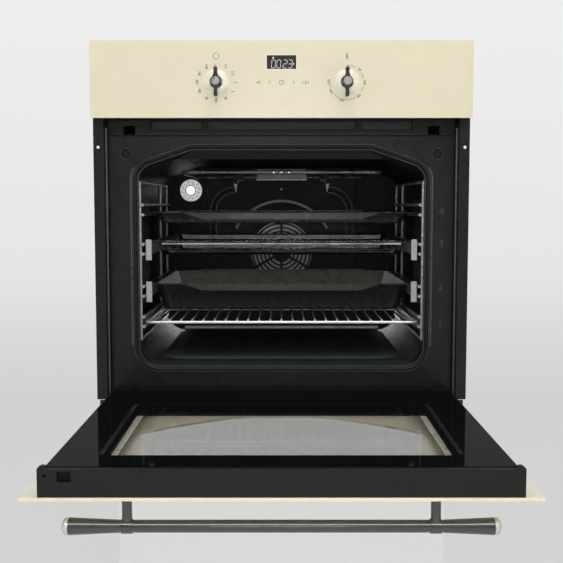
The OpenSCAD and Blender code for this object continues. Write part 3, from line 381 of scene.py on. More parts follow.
# Painted light: a slightly lighter copy of the tray enamel, as if the apron caught more light.
APRON_PAINTED_LIGHT = Finish("tray_apron_painted_light", Slot.CAVITY_ENAMEL, (0.015, 0.0148, 0.0143), rough=0.3, coat=0.1,
    mottle=0.1, grain_scale=380)
BLACK_PLASTIC = Finish("black_moulded_plastic", Slot.BLACK_PLASTIC, (0.0095, 0.0092, 0.0085), rough=0.5,
    specular=0.3, grain=Grain.CELLS, grain_scale=1400)
SEAL = Finish("woven_door_seal", Slot.SEAL, (0.0065, 0.0065, 0.0065), rough=0.42, specular=0.25,
    grain=Grain.WEAVE, grain_scale=160, depth=0.1)
RACK_CHROME = Finish("rack_chrome_wire", Slot.CHROME_WIRE, (0.42, 0.42, 0.42), rough=0.3, metal=0.45,
    mottle=0.2, grain=Grain.NOISE, grain_scale=240, depth=0.01)
# Painted highlight: pale grey beads for the light caught beside the frame's side strips and mouth.
LIP_PAINTED_HIGHLIGHT = Finish("frame_lip_painted_highlight", Slot.BLACK_ENAMEL, (0.065, 0.064, 0.061), rough=0.3, coat=0.2,
    mottle=0.15, grain_scale=420)
# Painted shade: near black for the shade in the frame's groove, in the latch pockets and behind the grill.
SHADE_BLACK = Finish("painted_shade_black", Slot.BLACK_ENAMEL, (0.0012, 0.0012, 0.0012), rough=0.6, specular=0.05,
    mottle=0.2, grain=Grain.NOISE, depth=0.01)
BAFFLE = Finish("vent_baffle_enamel", Slot.BLACK_ENAMEL, (0.020, 0.0197, 0.019), mottle=0.12, grain_scale=420)
# Painted highlight: pale grey lines along the gasket's edges and round the buffers.
SEAL_EDGE_HIGHLIGHT = Finish("seal_rim_painted_highlight", Slot.SEAL, (0.055, 0.057, 0.057), rough=0.35, mottle=0.3,
    grain=Grain.WEAVE, grain_scale=200, depth=0.05)
CHROME = Finish("chrome_plated_wire", Slot.CHROME_WIRE, (0.80, 0.81, 0.82), rough=0.2, metal=0.45,
    grain=Grain.NOISE, grain_scale=240, depth=0.01)
RUNNER_STEEL = Finish("runner_bright_steel", Slot.ZINC_STEEL, (0.50, 0.51, 0.51), rough=0.34, metal=0.75,
    grain=Grain.BRUSHED, grain_scale=1500, depth=0.01)
ZINC = Finish("zinc_plated_sheet", Slot.ZINC_STEEL, (0.56, 0.57, 0.57), rough=0.38, metal=0.9, mottle=0.16,
    mottle_scale=110, rough_spread=0.12, grain=Grain.CELLS, grain_scale=130)
HANDLE_METAL = Finish("anthracite_handle_metal", Slot.HANDLE_METAL, (0.098, 0.097, 0.096), rough=0.33,
    metal=0.9, coat=0.8, mottle=0.04, grain_scale=1700, depth=0.002)
CAP_METAL = Finish("pale_cap_metal", Slot.CAP_METAL, (0.66, 0.64, 0.58), rough=0.32, metal=0.45, mottle=0.04,
    grain=Grain.NOISE, grain_scale=1200, depth=0.006)
IVORY_PLASTIC = Finish("ivory_knob_plastic", Slot.IVORY_PLASTIC, (0.86, 0.81, 0.65), rough=0.26, coat=0.5,
    mottle=0.02, grain_scale=500, depth=0.006)
KNOB_METAL = Finish("knob_grip_metal", Slot.HANDLE_METAL, (0.060, 0.055, 0.050), rough=0.3, metal=0.7,
    grain=Grain.BRUSHED, grain_scale=1800, depth=0.01)
KNOB_CAP = Finish("knob_hub_metal", Slot.HANDLE_METAL, (0.42, 0.41, 0.40), rough=0.3, metal=0.6,
    grain=Grain.NOISE, grain_scale=1500, depth=0.006)
BRIGHT = Finish("knob_bright_chrome", Slot.CAP_METAL, (0.90, 0.90, 0.88), rough=0.1, metal=1.0, depth=0.0)
BRIGHT_CLIP = Finish("cover_clip_steel", Slot.ZINC_STEEL, (0.78, 0.78, 0.76), rough=0.3, metal=0.3,
    mottle=0.1, depth=0.0)
HEATER = Finish("heater_tube_metal", Slot.HEATER_TUBE, (0.16, 0.155, 0.15), rough=0.3, metal=0.6, mottle=0.25,
    mottle_scale=70, grain=Grain.NOISE, grain_scale=900, depth=0.03)
WOOL = Finish("glass_wool", Slot.WOOL, (0.50, 0.40, 0.20), rough=0.95, mottle=0.25, mottle_scale=90,
    grain=Grain.NOISE, grain_scale=260, depth=1.2)
MOTOR_STEEL = Finish("motor_lamination_steel", Slot.MOTOR_STEEL, (0.36, 0.37, 0.38), rough=0.42, metal=0.85,
    grain=Grain.BRUSHED, grain_scale=1200, depth=0.03)
WHITE_PLASTIC = Finish("white_terminal_plastic", Slot.WHITE_PLASTIC, (0.78, 0.78, 0.75), rough=0.42,
    mottle=0.02, grain=Grain.CELLS, grain_scale=1300, depth=0.01)
BOARD = Finish("circuit_board", Slot.BOARD, (0.020, 0.085, 0.035), rough=0.42, coat=0.3, mottle=0.2,
    mottle_scale=300, grain=Grain.NOISE)
DISPLAY = Finish("display_smoked_glass", Slot.BLACK_GLASS, (0.034, 0.032, 0.029), rough=0.14, coat=0.45,
    depth=0.0)
DIGITS = Finish("display_lit_digits", Slot.WHITE_PLASTIC, (0.58, 0.58, 0.58), rough=0.5, glow=0.33,
    mottle=0.0, depth=0.0)
BORDER = Finish("display_pale_border", Slot.IVORY_GLASS, (0.93, 0.88, 0.72), rough=0.2, coat=0.8, mottle=0.01,
    depth=0.0)
INK = Finish("panel_print_ink", Slot.BLACK_PLASTIC, (0.10, 0.082, 0.055), rough=0.35, mottle=0.05, depth=0.0)
LAMP_GLOW = Finish("lamp_bright_bulb", Slot.CLEAR_GLASS, (0.95, 0.94, 0.90), rough=0.3, glow=1.3, mottle=0.01,
    depth=0.0)
LENS_GLASS = Finish("lamp_lens_glass", Slot.CLEAR_GLASS, (0.80, 0.81, 0.80), rough=0.1, coat=1.0, alpha=0.85,
    glow=0.42, mottle=0.6, mottle_scale=260, rough_spread=0.05, grain=Grain.CELLS, grain_scale=160, depth=0.6)
LENS_EYE = Finish("lamp_lens_eye", Slot.CLEAR_GLASS, (0.95, 0.95, 0.93), rough=0.15, coat=1.0, glow=0.85,
    mottle=0.05, depth=0.0)
LENS_SHADE = Finish("lamp_lens_shade", Slot.CLEAR_GLASS, (0.05, 0.05, 0.05), rough=0.2, coat=1.0, mottle=0.4,
    mottle_scale=300, depth=0.0)
REFLECTOR = Finish("lamp_bright_reflector", Slot.ZINC_STEEL, (0.85, 0.85, 0.83), rough=0.2, metal=0.8,
    glow=0.25, mottle=0.05, depth=0.0)
# Painted shade: ivory darkened to how it looks in shade behind the door's panes.
MIDDLE_PRINT_PAINTED_SHADE = Finish("door_middle_print", Slot.IVORY_GLASS, (0.33, 0.315, 0.26), rough=0.3, mottle=0.03,
    depth=0.0)
DOT_PALE = Finish("pale_window_dots", Slot.IVORY_GLASS, (0.20, 0.20, 0.19), rough=0.3, mottle=0.03, depth=0.0)
EMBOSSED = Finish("embossed_frame_numbers", Slot.BLACK_ENAMEL, (0.042, 0.041, 0.038), rough=0.3, coat=0.3,
    grain=Grain.NOISE, depth=0.01)


def rounded(corners: Outline, radii: Sequence[float], steps: int = 10) -> list[Vector]:
    """Turns the corners of a closed outline.

    Args:
        corners: Corners of the outline, anticlockwise.
        radii: Radius at each corner.
        steps: Flats in each corner.

    Returns:
        Points of the outline.
    """
    points = []
    for i, corner in enumerate(corners):
        p = Vector(corner)
        a = (Vector(corners[i - 1]) - p).normalized()
        b = (Vector(corners[(i + 1) % len(corners)]) - p).normalized()
        half = math.acos(max(-1.0, min(1.0, a.dot(b)))) / 2
        centre = p + (a + b).normalized() * radii[i] / math.sin(half)
        start = (p + a * radii[i] / math.tan(half) - centre).normalized()
        end = (p + b * radii[i] / math.tan(half) - centre).normalized()
        turn = math.pi - 2 * half
        for k in range(steps + 1):
            f = k / steps
            arm = (start * math.sin((1 - f) * turn) + end * math.sin(f * turn)) / math.sin(turn)
            points.append(centre + arm * radii[i])
    return points


def oblong(half_x: float, half_y: float, radius: float, steps: int = 10,
           centre: Point = (0.0, 0.0)) -> list[Vector]:
    """Outline of a rectangle with round corners.

    Args:
        half_x: Half of its width.
        half_y: Half of its height.
        radius: Radius of its corners.
        steps: Flats in each corner.
        centre: Its middle.

    Returns:
        Points of the outline, anticlockwise.
    """
    x, y = centre
    corners = [(x - half_x, y - half_y), (x + half_x, y - half_y), (x + half_x, y + half_y),
               (x - half_x, y + half_y)]
    return rounded(corners, [radius] * 4, steps)


def grown(corners: Outline, by: float) -> list[Point]:
    """Moves the edges of an anticlockwise outline outwards.

    Args:
        corners: Corners of the outline.
        by: How far the edges move.

    Returns:
        The new corners.
    """
    moved = []
    for i, corner in enumerate(corners):
        p = Vector(corner)
        u = (p - Vector(corners[i - 1])).normalized()
        v = (Vector(corners[(i + 1) % len(corners)]) - p).normalized()
        m, n = Vector((u.y, -u.x)), Vector((v.y, -v.x))
        moved.append(tuple(p + by * (m + n) / (1 + m.dot(n))))
    return moved


def round_section(radius: float, steps: int = 16) -> list[Point]:
    """Outline of a round wire."""
    return [(radius * math.cos(2 * math.pi * k / steps), radius * math.sin(2 * math.pi * k / steps))
            for k in range(steps)]


def polar(radius: float, degrees: float) -> Point:
    """Place at a radius and an angle."""
    return radius * math.cos(math.radians(degrees)), radius * math.sin(math.radians(degrees))


def placed(name: str, data: object) -> Piece:
    """Makes an object of its data and links it to the scene.

    Args:
        name: Its name.
        data: Its mesh, camera or light.

    Returns:
        The object.
    """
    obj = bpy.data.objects.new(name, data)
    bpy.context.scene.collection.objects.link(obj)
    return obj


def smoothed(data: bpy.types.Mesh, sharp: float) -> None:
    """Shades a mesh smooth but for the edges over an angle in degrees."""
    data.shade_smooth()
    data.set_sharp_from_angle(angle=math.radians(sharp))


def evaluated(obj: Piece) -> bpy.types.Mesh:
    """Makes a plain mesh of what an object's modifiers or letters give.

    Args:
        obj: The object with its modifiers.

    Returns:
        The mesh.
    """
    graph = bpy.context.evaluated_depsgraph_get()
    graph.update()
    return bpy.data.meshes.new_from_object(obj.evaluated_get(graph))


class Workshop:
    """Turns millimetres into the frame's metres, makes meshes and settles pieces on their bodies."""

    def __init__(self, frame: dict) -> None:
        """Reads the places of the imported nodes.
        """
        self.nodes = frame["nodes"]
        self.face_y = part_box("panel_glass")[0].y
        bodies = frame["record"]["behaviour"]["bodies"]
        self.body_of = {node: body for body, members in bodies.items() for node in members}
        self.hinge_y, self.hinge_z = 11.5, 20.5
        self.slots: dict[str, str] = {}
        self.made: list[Piece] = []

    def at(self, x: float, y: float, z: float) -> Vector:
        """Place of a point given in the oven's millimetres."""
        return Vector((x * MM, y * MM + self.face_y, z * MM))

    def on_door(self, x: float, y: float, z: float) -> Vector:
        """Place of a point given on the closed door, once the door lies open."""
        return self.at(x, self.hinge_y - (z - self.hinge_z), self.hinge_z + (y - self.hinge_y))

    def facing(self, x: float, y: float, z: float, out: int = 1) -> Place:
        """Gives a placing function on a face square to Y.

        Args:
            x: Middle of the face.
            y: Its depth in the oven.
            z: Height of its middle.
            out: 1 where heights over the face count out of the oven, -1 where they count into it.

        Returns:
            The function of a distance across, one up and a height over the face.
        """
        return lambda a, b, h: self.at(x + a, y - out * h, z + b)

    def limits(self, node: str) -> tuple[Vector, Vector]:
        """Lowest and highest corner of a node in the oven's millimetres.

        Args:
            node: Name of the node.

        Returns:
            The lowest and the highest corner in millimetres.
        """
        low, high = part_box(node)
        shift = Vector((0.0, self.face_y, 0.0))
        return (Vector(low) - shift) / MM, (Vector(high) - shift) / MM

    def mesh(self, name: str, points: Sequence[Vector], faces: Sequence[Sequence[int]], finish: Finish,
             sharp: float = 32.0) -> Piece:
        """Makes an object of points and faces.

        Args:
            name: Name of the object.
            points: Its points in metres.
            faces: Its faces.
            finish: Its finish.
            sharp: Angle over which an edge stays sharp, in degrees.

        Returns:
            The object, with its normals outwards.
        """
        data = bpy.data.meshes.new(name)
        data.from_pydata([tuple(p) for p in points], [], [tuple(f) for f in faces])
        work = bmesh.new()
        work.from_mesh(data)
        bmesh.ops.remove_doubles(work, verts=work.verts, dist=1e-6)
        bmesh.ops.recalc_face_normals(work, faces=work.faces)
        work.to_mesh(data)
        work.free()
        self.paint(data, finish)
        smoothed(data, sharp)
        return placed(name, data)

    def paint(self, data: bpy.types.Mesh, *finishes: Finish) -> None:
        """Gives a mesh its finishes and keeps their slots in mind.

        Args:
            data: The mesh.
            finishes: What it is made of, in the order of its material slots.
        """
        for finish in finishes:
            data.materials.append(finish.material())
            self.slots[finish.name] = finish.slot.value

    def join(self, name: str, parts: Sequence[Piece]) -> Piece:
        """Joins parts into one object that keeps each part's material.

        Args:
            name: Name of the joined object.
            parts: Objects to join, which are used up.

        Returns:
            The joined object.
        """
        with bpy.context.temp_override(active_object=parts[0], selected_editable_objects=list(parts),
                                       object=parts[0], selected_objects=list(parts)):
            bpy.ops.object.join()
        parts[0].name = name
        parts[0].data.name = name
        return parts[0]

    def baked(self, obj: Piece) -> Piece:
        """Turns an object's modifiers into its mesh.

        Args:
            obj: The object.

        Returns:
            The same object with a plain mesh.
        """
        data = evaluated(obj)
        obj.modifiers.clear()
        obj.data = data
        return obj

    def eased(self, obj: Piece, width: float, angle: float, segments: int = 2) -> Piece:
        """Breaks the edges of an object.

        Args:
            obj: The object.
            width: Width of the broken edges.
            angle: Angle over which an edge is broken, in degrees.
            segments: Faces across a broken edge.

        Returns:
            The same object.
        """
        bevel = obj.modifiers.new("edges", "BEVEL")
        bevel.width = width * MM
        bevel.segments = segments
        bevel.limit_method = "ANGLE"
        bevel.angle_limit = math.radians(angle)
        bevel.harden_normals = True
        return self.baked(obj)

    def settle(self, obj: Piece, nodes: Sequence[str] = (), body: str = "oven") -> None:
        """Rides a piece on its body.

        Args:
            obj: The piece.
            nodes: CAD nodes that it replaces.
            body: Body that it moves with, where it replaces no node.
        """
        if nodes:
            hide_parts(*nodes)
            body = self.body_of[nodes[0]]
        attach(obj, body)
        self.made.append(obj)
        LOG.info("%s rides on %s, %d faces", obj.name, body, len(obj.data.polygons))

    def refine(self, finish: Finish, edge: float, *nodes: str, sharp: float = 30.0,
               segments: int = 2) -> None:
        """Settles a finished copy of each node: merged, its edges broken and its curves smooth.

        Args:
            finish: Finish of the copies.
            edge: Width of the broken edges, none where it is 0.
            nodes: The CAD nodes.
            sharp: Angle over which an edge is broken, in degrees.
            segments: Faces across a broken edge.
        """
        for node in nodes:
            data = self.nodes[node].data.copy()
            data.materials.clear()
            self.paint(data, finish)
            work = bmesh.new()
            work.from_mesh(data)
            bmesh.ops.remove_doubles(work, verts=work.verts, dist=2e-6)
            bmesh.ops.dissolve_limit(work, angle_limit=math.radians(0.3), verts=work.verts, edges=work.edges)
            for face in work.faces:
                face.material_index = 0
            work.to_mesh(data)
            work.free()
            for name in [a.name for a in data.attributes if a.name in ("custom_normal", "sharp_face")]:
                data.attributes.remove(data.attributes[name])
            smoothed(data, sharp)
            obj = placed(node + "_piece", data)
            if edge:
                self.eased(obj, edge, sharp, segments)
            self.settle(obj, [node])

    def loft(self, name: str, rings: Sequence[Sequence[Vector]], finish: Finish, closed: bool = False,
             capped: bool = True, sharp: float = 32.0) -> Piece:
        """Skins rings of as many points each.

        Args:
            name: Name of the object.
            rings: The rings, in metres.
            finish: Its finish.
            closed: Whether the last ring joins the first.
            capped: Whether the first and last ring are filled.
            sharp: Angle over which an edge stays sharp, in degrees.

        Returns:
            The object.
        """
        count = len(rings[0])
        points = [p for ring in rings for p in ring]
        faces: list[list[int]] = []
        for r in range(len(rings) if closed else len(rings) - 1):
            a, b = r * count, (r + 1) % len(rings) * count
            for i in range(count):
                j = (i + 1) % count
                faces.append([a + i, a + j, b + j, b + i])
        if capped and not closed:
            faces.append(list(range(count - 1, -1, -1)))
            faces.append([(len(rings) - 1) * count + i for i in range(count)])
        return self.mesh(name, points, faces, finish, sharp)

    def lathe(self, name: str, profile: Outline, place: Place, finish: Finish, steps: int = 96,
              sharp: float = 32.0) -> Piece:
        """Turns a profile round an axis.

        Args:
            name: Name of the object.
            profile: Radius and height of each ring, from one end to the other.
            place: Turns the two cross distances and the height into a place.
            finish: Its finish.
            steps: Facets round the axis.
            sharp: Angle over which an edge stays sharp, in degrees.

        Returns:
            The object.
        """
        rings = [[place(a, b, height) for a, b in round_section(max(radius, 0.001), steps)]
                 for radius, height in profile]
        return self.loft(name, rings, finish, sharp=sharp)

    def sweep(self, name: str, path: Sequence[Vector], section: Outline, axis: Vector, finish: Finish,
              closed: bool = True, sharp: float = 40.0) -> Piece:
        """Carries a section along a flat path.

        Args:
            name: Name of the object.
            path: Points of the path, in metres.
            section: Outline of the section in millimetres, outwards from the path and along the axis.
            axis: Direction square to the path's plane.
            finish: Its finish.
            closed: Whether the path closes.
            sharp: Angle over which an edge stays sharp, in degrees.

        Returns:
            The object.
        """
        rings = []
        last = len(path) - 1
        for i, p in enumerate(path):
            before = path[i - 1] if closed or i else path[i]
            after = path[(i + 1) % len(path)] if closed or i < last else path[i]
            along = (after - before).normalized()
            out = along.cross(axis).normalized()
            rings.append([p + out * (a * MM) + axis * (b * MM) for a, b in section])
        return self.loft(name, rings, finish, closed=closed, sharp=sharp)

    def wire(self, name: str, path: Sequence[Vector], radius: float, axis: Vector, finish: Finish,
             steps: int = 12, closed: bool = False) -> Piece:
        """Carries a round section along a flat path.

        Args:
            name: Name of the object.
            path: Points of the path, in metres.
            radius: Radius of the section.
            axis: Direction square to the path's plane.
            finish: Its finish.
            steps: Facets round the section.
            closed: Whether the path closes.

        Returns:
            The object.
        """
        return self.sweep(name, path, round_section(radius, steps), axis, finish, closed, 60)

    def plate(self, name: str, outline: Outline, holes: Sequence[Outline], place: Place, low: float,
              high: float, finish: Finish) -> Piece:
        """Makes a flat plate with holes.

        Args:
            name: Name of the object.
            outline: Its outline.
            holes: Outlines of its holes.
            place: Turns two distances in the plate and one across it into a place.
            low: Where the plate starts across its thickness.
            high: Where it ends.
            finish: Its finish.

        Returns:
            The object.
        """
        loops = [[Vector((p[0], p[1], 0.0)) for p in loop] for loop in (outline, *holes)]
        flat = [p for loop in loops for p in loop]
        triangles = tessellate_polygon(loops)
        count = len(flat)
        points = [place(p.x, p.y, low) for p in flat] + [place(p.x, p.y, high) for p in flat]
        faces = [list(t) for t in triangles] + [[i + count for i in reversed(t)] for t in triangles]
        start = 0
        for loop in loops:
            n = len(loop)
            for i in range(n):
                j = (i + 1) % n
                faces.append([start + i, start + j, start + j + count, start + i + count])
            start += n
        return self.mesh(name, points, faces, finish)


class Repeater:
    """Builds the node trees that repeat an item, and bakes what they make."""

    def __init__(self, shop: Workshop) -> None:
        """Keeps the workshop that bakes the results."""
        self.shop = shop

    def _tree(self, name: str, inputs: Sequence[tuple[str, str, object]]) -> tuple[Wiring, object]:
        """Starts a tree with named inputs.

        Args:
            name: Name of the tree.
            inputs: Name, socket type and value of each input.

        Returns:
            The tree's wiring and the sockets of its inputs.
        """
        tree = bpy.data.node_groups.new(name, "GeometryNodeTree")
        tree.interface.new_socket("Geometry", in_out="INPUT", socket_type="NodeSocketGeometry")
        for label, kind, value in inputs:
            socket = tree.interface.new_socket(label, in_out="INPUT", socket_type="NodeSocket" + kind)
            if value is not None:
                socket.default_value = value
        tree.interface.new_socket("Geometry", in_out="OUTPUT", socket_type="NodeSocketGeometry")
        nodes = Wiring(tree)
        return nodes, nodes.add("NodeGroupInput").outputs

    def _close(self, nodes: Wiring, instances: Socket, finish: Socket) -> None:
        """Ends a tree in Realize Instances and Set Material.

        Args:
            nodes: The tree's wiring.
            instances: Socket that carries the instances.
            finish: Socket that carries the material.
        """
        real = nodes.add("GeometryNodeRealizeInstances")
        paint = nodes.add("GeometryNodeSetMaterial")
        out = nodes.add("NodeGroupOutput")
        nodes.link((instances, real.inputs["Geometry"]), (real.outputs["Geometry"], paint.inputs["Geometry"]),
                   (finish, paint.inputs["Material"]), (paint.outputs["Geometry"], out.inputs["Geometry"]))

    def _run(self, name: str, tree: Tree, data: bpy.types.Mesh, values: dict[str, object],
             sharp: float = 32.0) -> Piece:
        """Runs a tree on a mesh and bakes the result.

        Args:
            name: Name of the new object.
            tree: The tree.
            data: Mesh that the tree starts from.
            values: Values of the tree's inputs.
            sharp: Angle over which an edge stays sharp, in degrees.

        Returns:
            The object with a plain mesh.
        """
        obj = placed(name, data)
        modifier = obj.modifiers.new("repeat", "NODES")
        modifier.node_group = tree
        for item in tree.interface.items_tree:
            if item.item_type == "SOCKET" and item.in_out == "INPUT" and item.name in values:
                modifier[item.identifier] = values[item.name]
        self.shop.baked(obj)
        obj.data.name = name
        smoothed(obj.data, sharp)
        return obj

    def row(self, name: str, start: Vector, step: Vector, count: int, radius: float, length: float,
            turn: Sequence[float], finish: Finish) -> Piece:
        """Repeats a wire in a row.

        Args:
            name: Name of the object.
            start: Middle of the first wire, in metres.
            step: From one wire to the next, in metres.
            count: Number of wires.
            radius: Radius of a wire, in metres.
            length: Length of a wire, in metres.
            turn: Rotation of each wire.
            finish: Its finish.

        Returns:
            The object.
        """
        nodes, source = self._tree("wire_row", [("Count", "Int", 5), ("Start", "Vector", None),
                                                ("Step", "Vector", None), ("Radius", "Float", 0.001),
                                                ("Length", "Float", 0.1), ("Turn", "Vector", None),
                                                ("Finish", "Material", None)])
        line = nodes.add("GeometryNodeMeshLine")
        wire = nodes.add("GeometryNodeMeshCylinder", {"Vertices": 14})
        spread = nodes.add("GeometryNodeInstanceOnPoints")
        nodes.link((source["Count"], line.inputs["Count"]), (source["Start"], line.inputs["Start Location"]),
                   (source["Step"], line.inputs["Offset"]), (source["Radius"], wire.inputs["Radius"]),
                   (source["Length"], wire.inputs["Depth"]), (line.outputs["Mesh"], spread.inputs["Points"]),
                   (wire.outputs["Mesh"], spread.inputs["Instance"]),
                   (source["Turn"], spread.inputs["Rotation"]))
        self._close(nodes, spread.outputs["Instances"], source["Finish"])
        return self._run(name, nodes.tree, bpy.data.meshes.new(name), {
            "Count": count, "Start": tuple(start), "Step": tuple(step), "Radius": radius, "Length": length,
            "Turn": tuple(turn), "Finish": finish.material()})

    def scatter(self, name: str, item: Piece, points: Sequence[Vector], turns: Sequence[Euler],
                sizes: Sequence[float], finish: Finish, sharp: float = 32.0) -> Piece:
        """Repeats an item at given points.

        Args:
            name: Name of the object.
            item: The item, made about the origin, which is used up.
            points: Where the items stand, in metres.
            turns: How each is turned.
            sizes: How large each is.
            finish: Their finish.
            sharp: Angle over which an edge stays sharp, in degrees.

        Returns:
            The object.
        """
        nodes, source = self._tree("scatter_items", [
            ("Item", "Object", None), ("Scale", "Float", 1.0), ("Finish", "Material", None)])
        info = nodes.add("GeometryNodeObjectInfo")
        spread = nodes.add("GeometryNodeInstanceOnPoints")
        turn = nodes.add("GeometryNodeInputNamedAttribute", {"Name": "turn"}, data_type="FLOAT_VECTOR")
        size = nodes.add("GeometryNodeInputNamedAttribute", {"Name": "size"}, data_type="FLOAT")
        scaled = nodes.add("ShaderNodeMath", operation="MULTIPLY")
        nodes.link((source["Item"], info.inputs["Object"]), (source["Geometry"], spread.inputs["Points"]),
                   (info.outputs["Geometry"], spread.inputs["Instance"]),
                   (turn.outputs["Attribute"], spread.inputs["Rotation"]),
                   (size.outputs["Attribute"], scaled.inputs[0]), (source["Scale"], scaled.inputs[1]),
                   (scaled.outputs["Value"], spread.inputs["Scale"]))
        self._close(nodes, spread.outputs["Instances"], source["Finish"])
        data = bpy.data.meshes.new(name)
        data.from_pydata([tuple(p) for p in points], [], [])
        turned = data.attributes.new("turn", "FLOAT_VECTOR", "POINT").data
        turned.foreach_set("vector", [c for t in turns for c in t])
        data.attributes.new("size", "FLOAT", "POINT").data.foreach_set("value", list(sizes))
        made = self._run(name, nodes.tree, data, {"Item": item, "Scale": 1.0, "Finish": finish.material()},
                         sharp)
        bpy.data.objects.remove(item)
        return made


class Printer:
    """Lays thin print on a flat surface."""

    thick: float = 0.04

    def __init__(self, shop: Workshop, place: Place) -> None:
        """Keeps the surface's own directions.

        Args:
            shop: The workshop.
            place: Turns two distances on the surface and the height over it into a place.
        """
        self.shop = shop
        self.place = place
        self.parts: list[Piece] = []

    def stroke(self, path: Outline, width: float = 0.75, finish: Finish = INK, closed: bool = False) -> None:
        """Draws a line.

        Args:
            path: Points of the line.
            width: Its width.
            finish: Its finish.
            closed: Whether the line closes.
        """
        count = len(path)
        sides: list[tuple[Vector, Vector]] = []
        for i, p in enumerate(path):
            before = Vector(path[i - 1]) if closed or i else Vector(p)
            after = Vector(path[(i + 1) % count]) if closed or i < count - 1 else Vector(p)
            along = (after - before).normalized()
            out = Vector((along.y, -along.x)) * width / 2
            sides.append((Vector(p) + out, Vector(p) - out))
        points, faces = [], []
        for a, b in sides:
            for h in (0.0, self.thick):
                points += [self.place(a.x, a.y, h), self.place(b.x, b.y, h)]
        for i in range(count if closed else count - 1):
            a, b = 4 * i, 4 * ((i + 1) % count)
            for m, n in ((0, 1), (1, 3), (3, 2), (2, 0)):
                faces.append([a + m, a + n, b + n, b + m])
        if not closed:
            faces += [[0, 2, 3, 1], [4 * count - 4, 4 * count - 3, 4 * count - 1, 4 * count - 2]]
        self.parts.append(self.shop.mesh("print_line", points, faces, finish))

    def arc(self, centre: Point, radius: float, start: float, end: float, width: float = 0.75,
            finish: Finish = INK) -> None:
        """Draws an arc, its angles clockwise from the top.

        Args:
            centre: Its centre.
            radius: Its radius.
            start: Where it starts, in degrees.
            end: Where it ends, in degrees.
            width: Width of the line.
            finish: Its finish.
        """
        steps = max(6, int(abs(end - start) / 8))
        angles = [math.radians(start + (end - start) * k / steps) for k in range(steps + 1)]
        whole = abs(end - start) >= 360
        path = [(centre[0] + radius * math.sin(a), centre[1] + radius * math.cos(a)) for a in angles]
        self.stroke(path[:-1] if whole else path, width, finish, closed=whole)

    def fill(self, outline: Outline, finish: Finish = INK, holes: Sequence[Outline] = ()) -> None:
        """Fills an outline."""
        self.parts.append(self.shop.plate("print_area", outline, holes, self.place, 0.0, self.thick, finish))

    def words(self, text: str, middle: Point, height: float, turn: float = 0.0, finish: Finish = INK,
              raised: float = 0.0) -> None:
        """Prints generic figures.

        Args:
            text: The figures.
            middle: Their middle.
            height: Height of a figure.
            turn: Turn clockwise, in degrees.
            finish: Their finish.
            raised: Height over the surface where it isn't thin print.
        """
        curve = bpy.data.curves.new("figures", "FONT")
        curve.body = text
        curve.align_x = "CENTER"
        curve.align_y = "CENTER"
        curve.size = height / 0.7
        curve.resolution_u = 3
        curve.offset = 0.022 * curve.size
        source = placed("figures", curve)
        flat = evaluated(source)
        bpy.data.objects.remove(source)
        spin = Matrix.Rotation(-math.radians(turn), 2)
        points = [spin @ Vector((v.co.x, v.co.y)) + Vector(middle) for v in flat.vertices]
        faces = [list(p.vertices) for p in flat.polygons]
        count = len(points)
        high = raised or self.thick
        top = [self.place(p.x, p.y, high) for p in points]
        low = [self.place(p.x, p.y, 0.0) for p in points]
        edges: dict[tuple[int, int], int] = {}
        for f in faces:
            for i, a in enumerate(f):
                b = f[(i + 1) % len(f)]
                key = (min(a, b), max(a, b))
                edges[key] = edges.get(key, 0) + 1
        sides = [[a, b, b + count, a + count] for (a, b), n in edges.items() if n == 1]
        whole = faces + [[i + count for i in reversed(f)] for f in faces] + sides
        self.parts.append(self.shop.mesh("print_figures", top + low, whole, finish))
        bpy.data.meshes.remove(flat)

    def done(self, name: str) -> Piece:
        """Joins all that was printed into one object.

        Args:
            name: Its name.

        Returns:
            The print.
        """
        made = self.shop.join(name, self.parts)
        self.parts = []
        return made


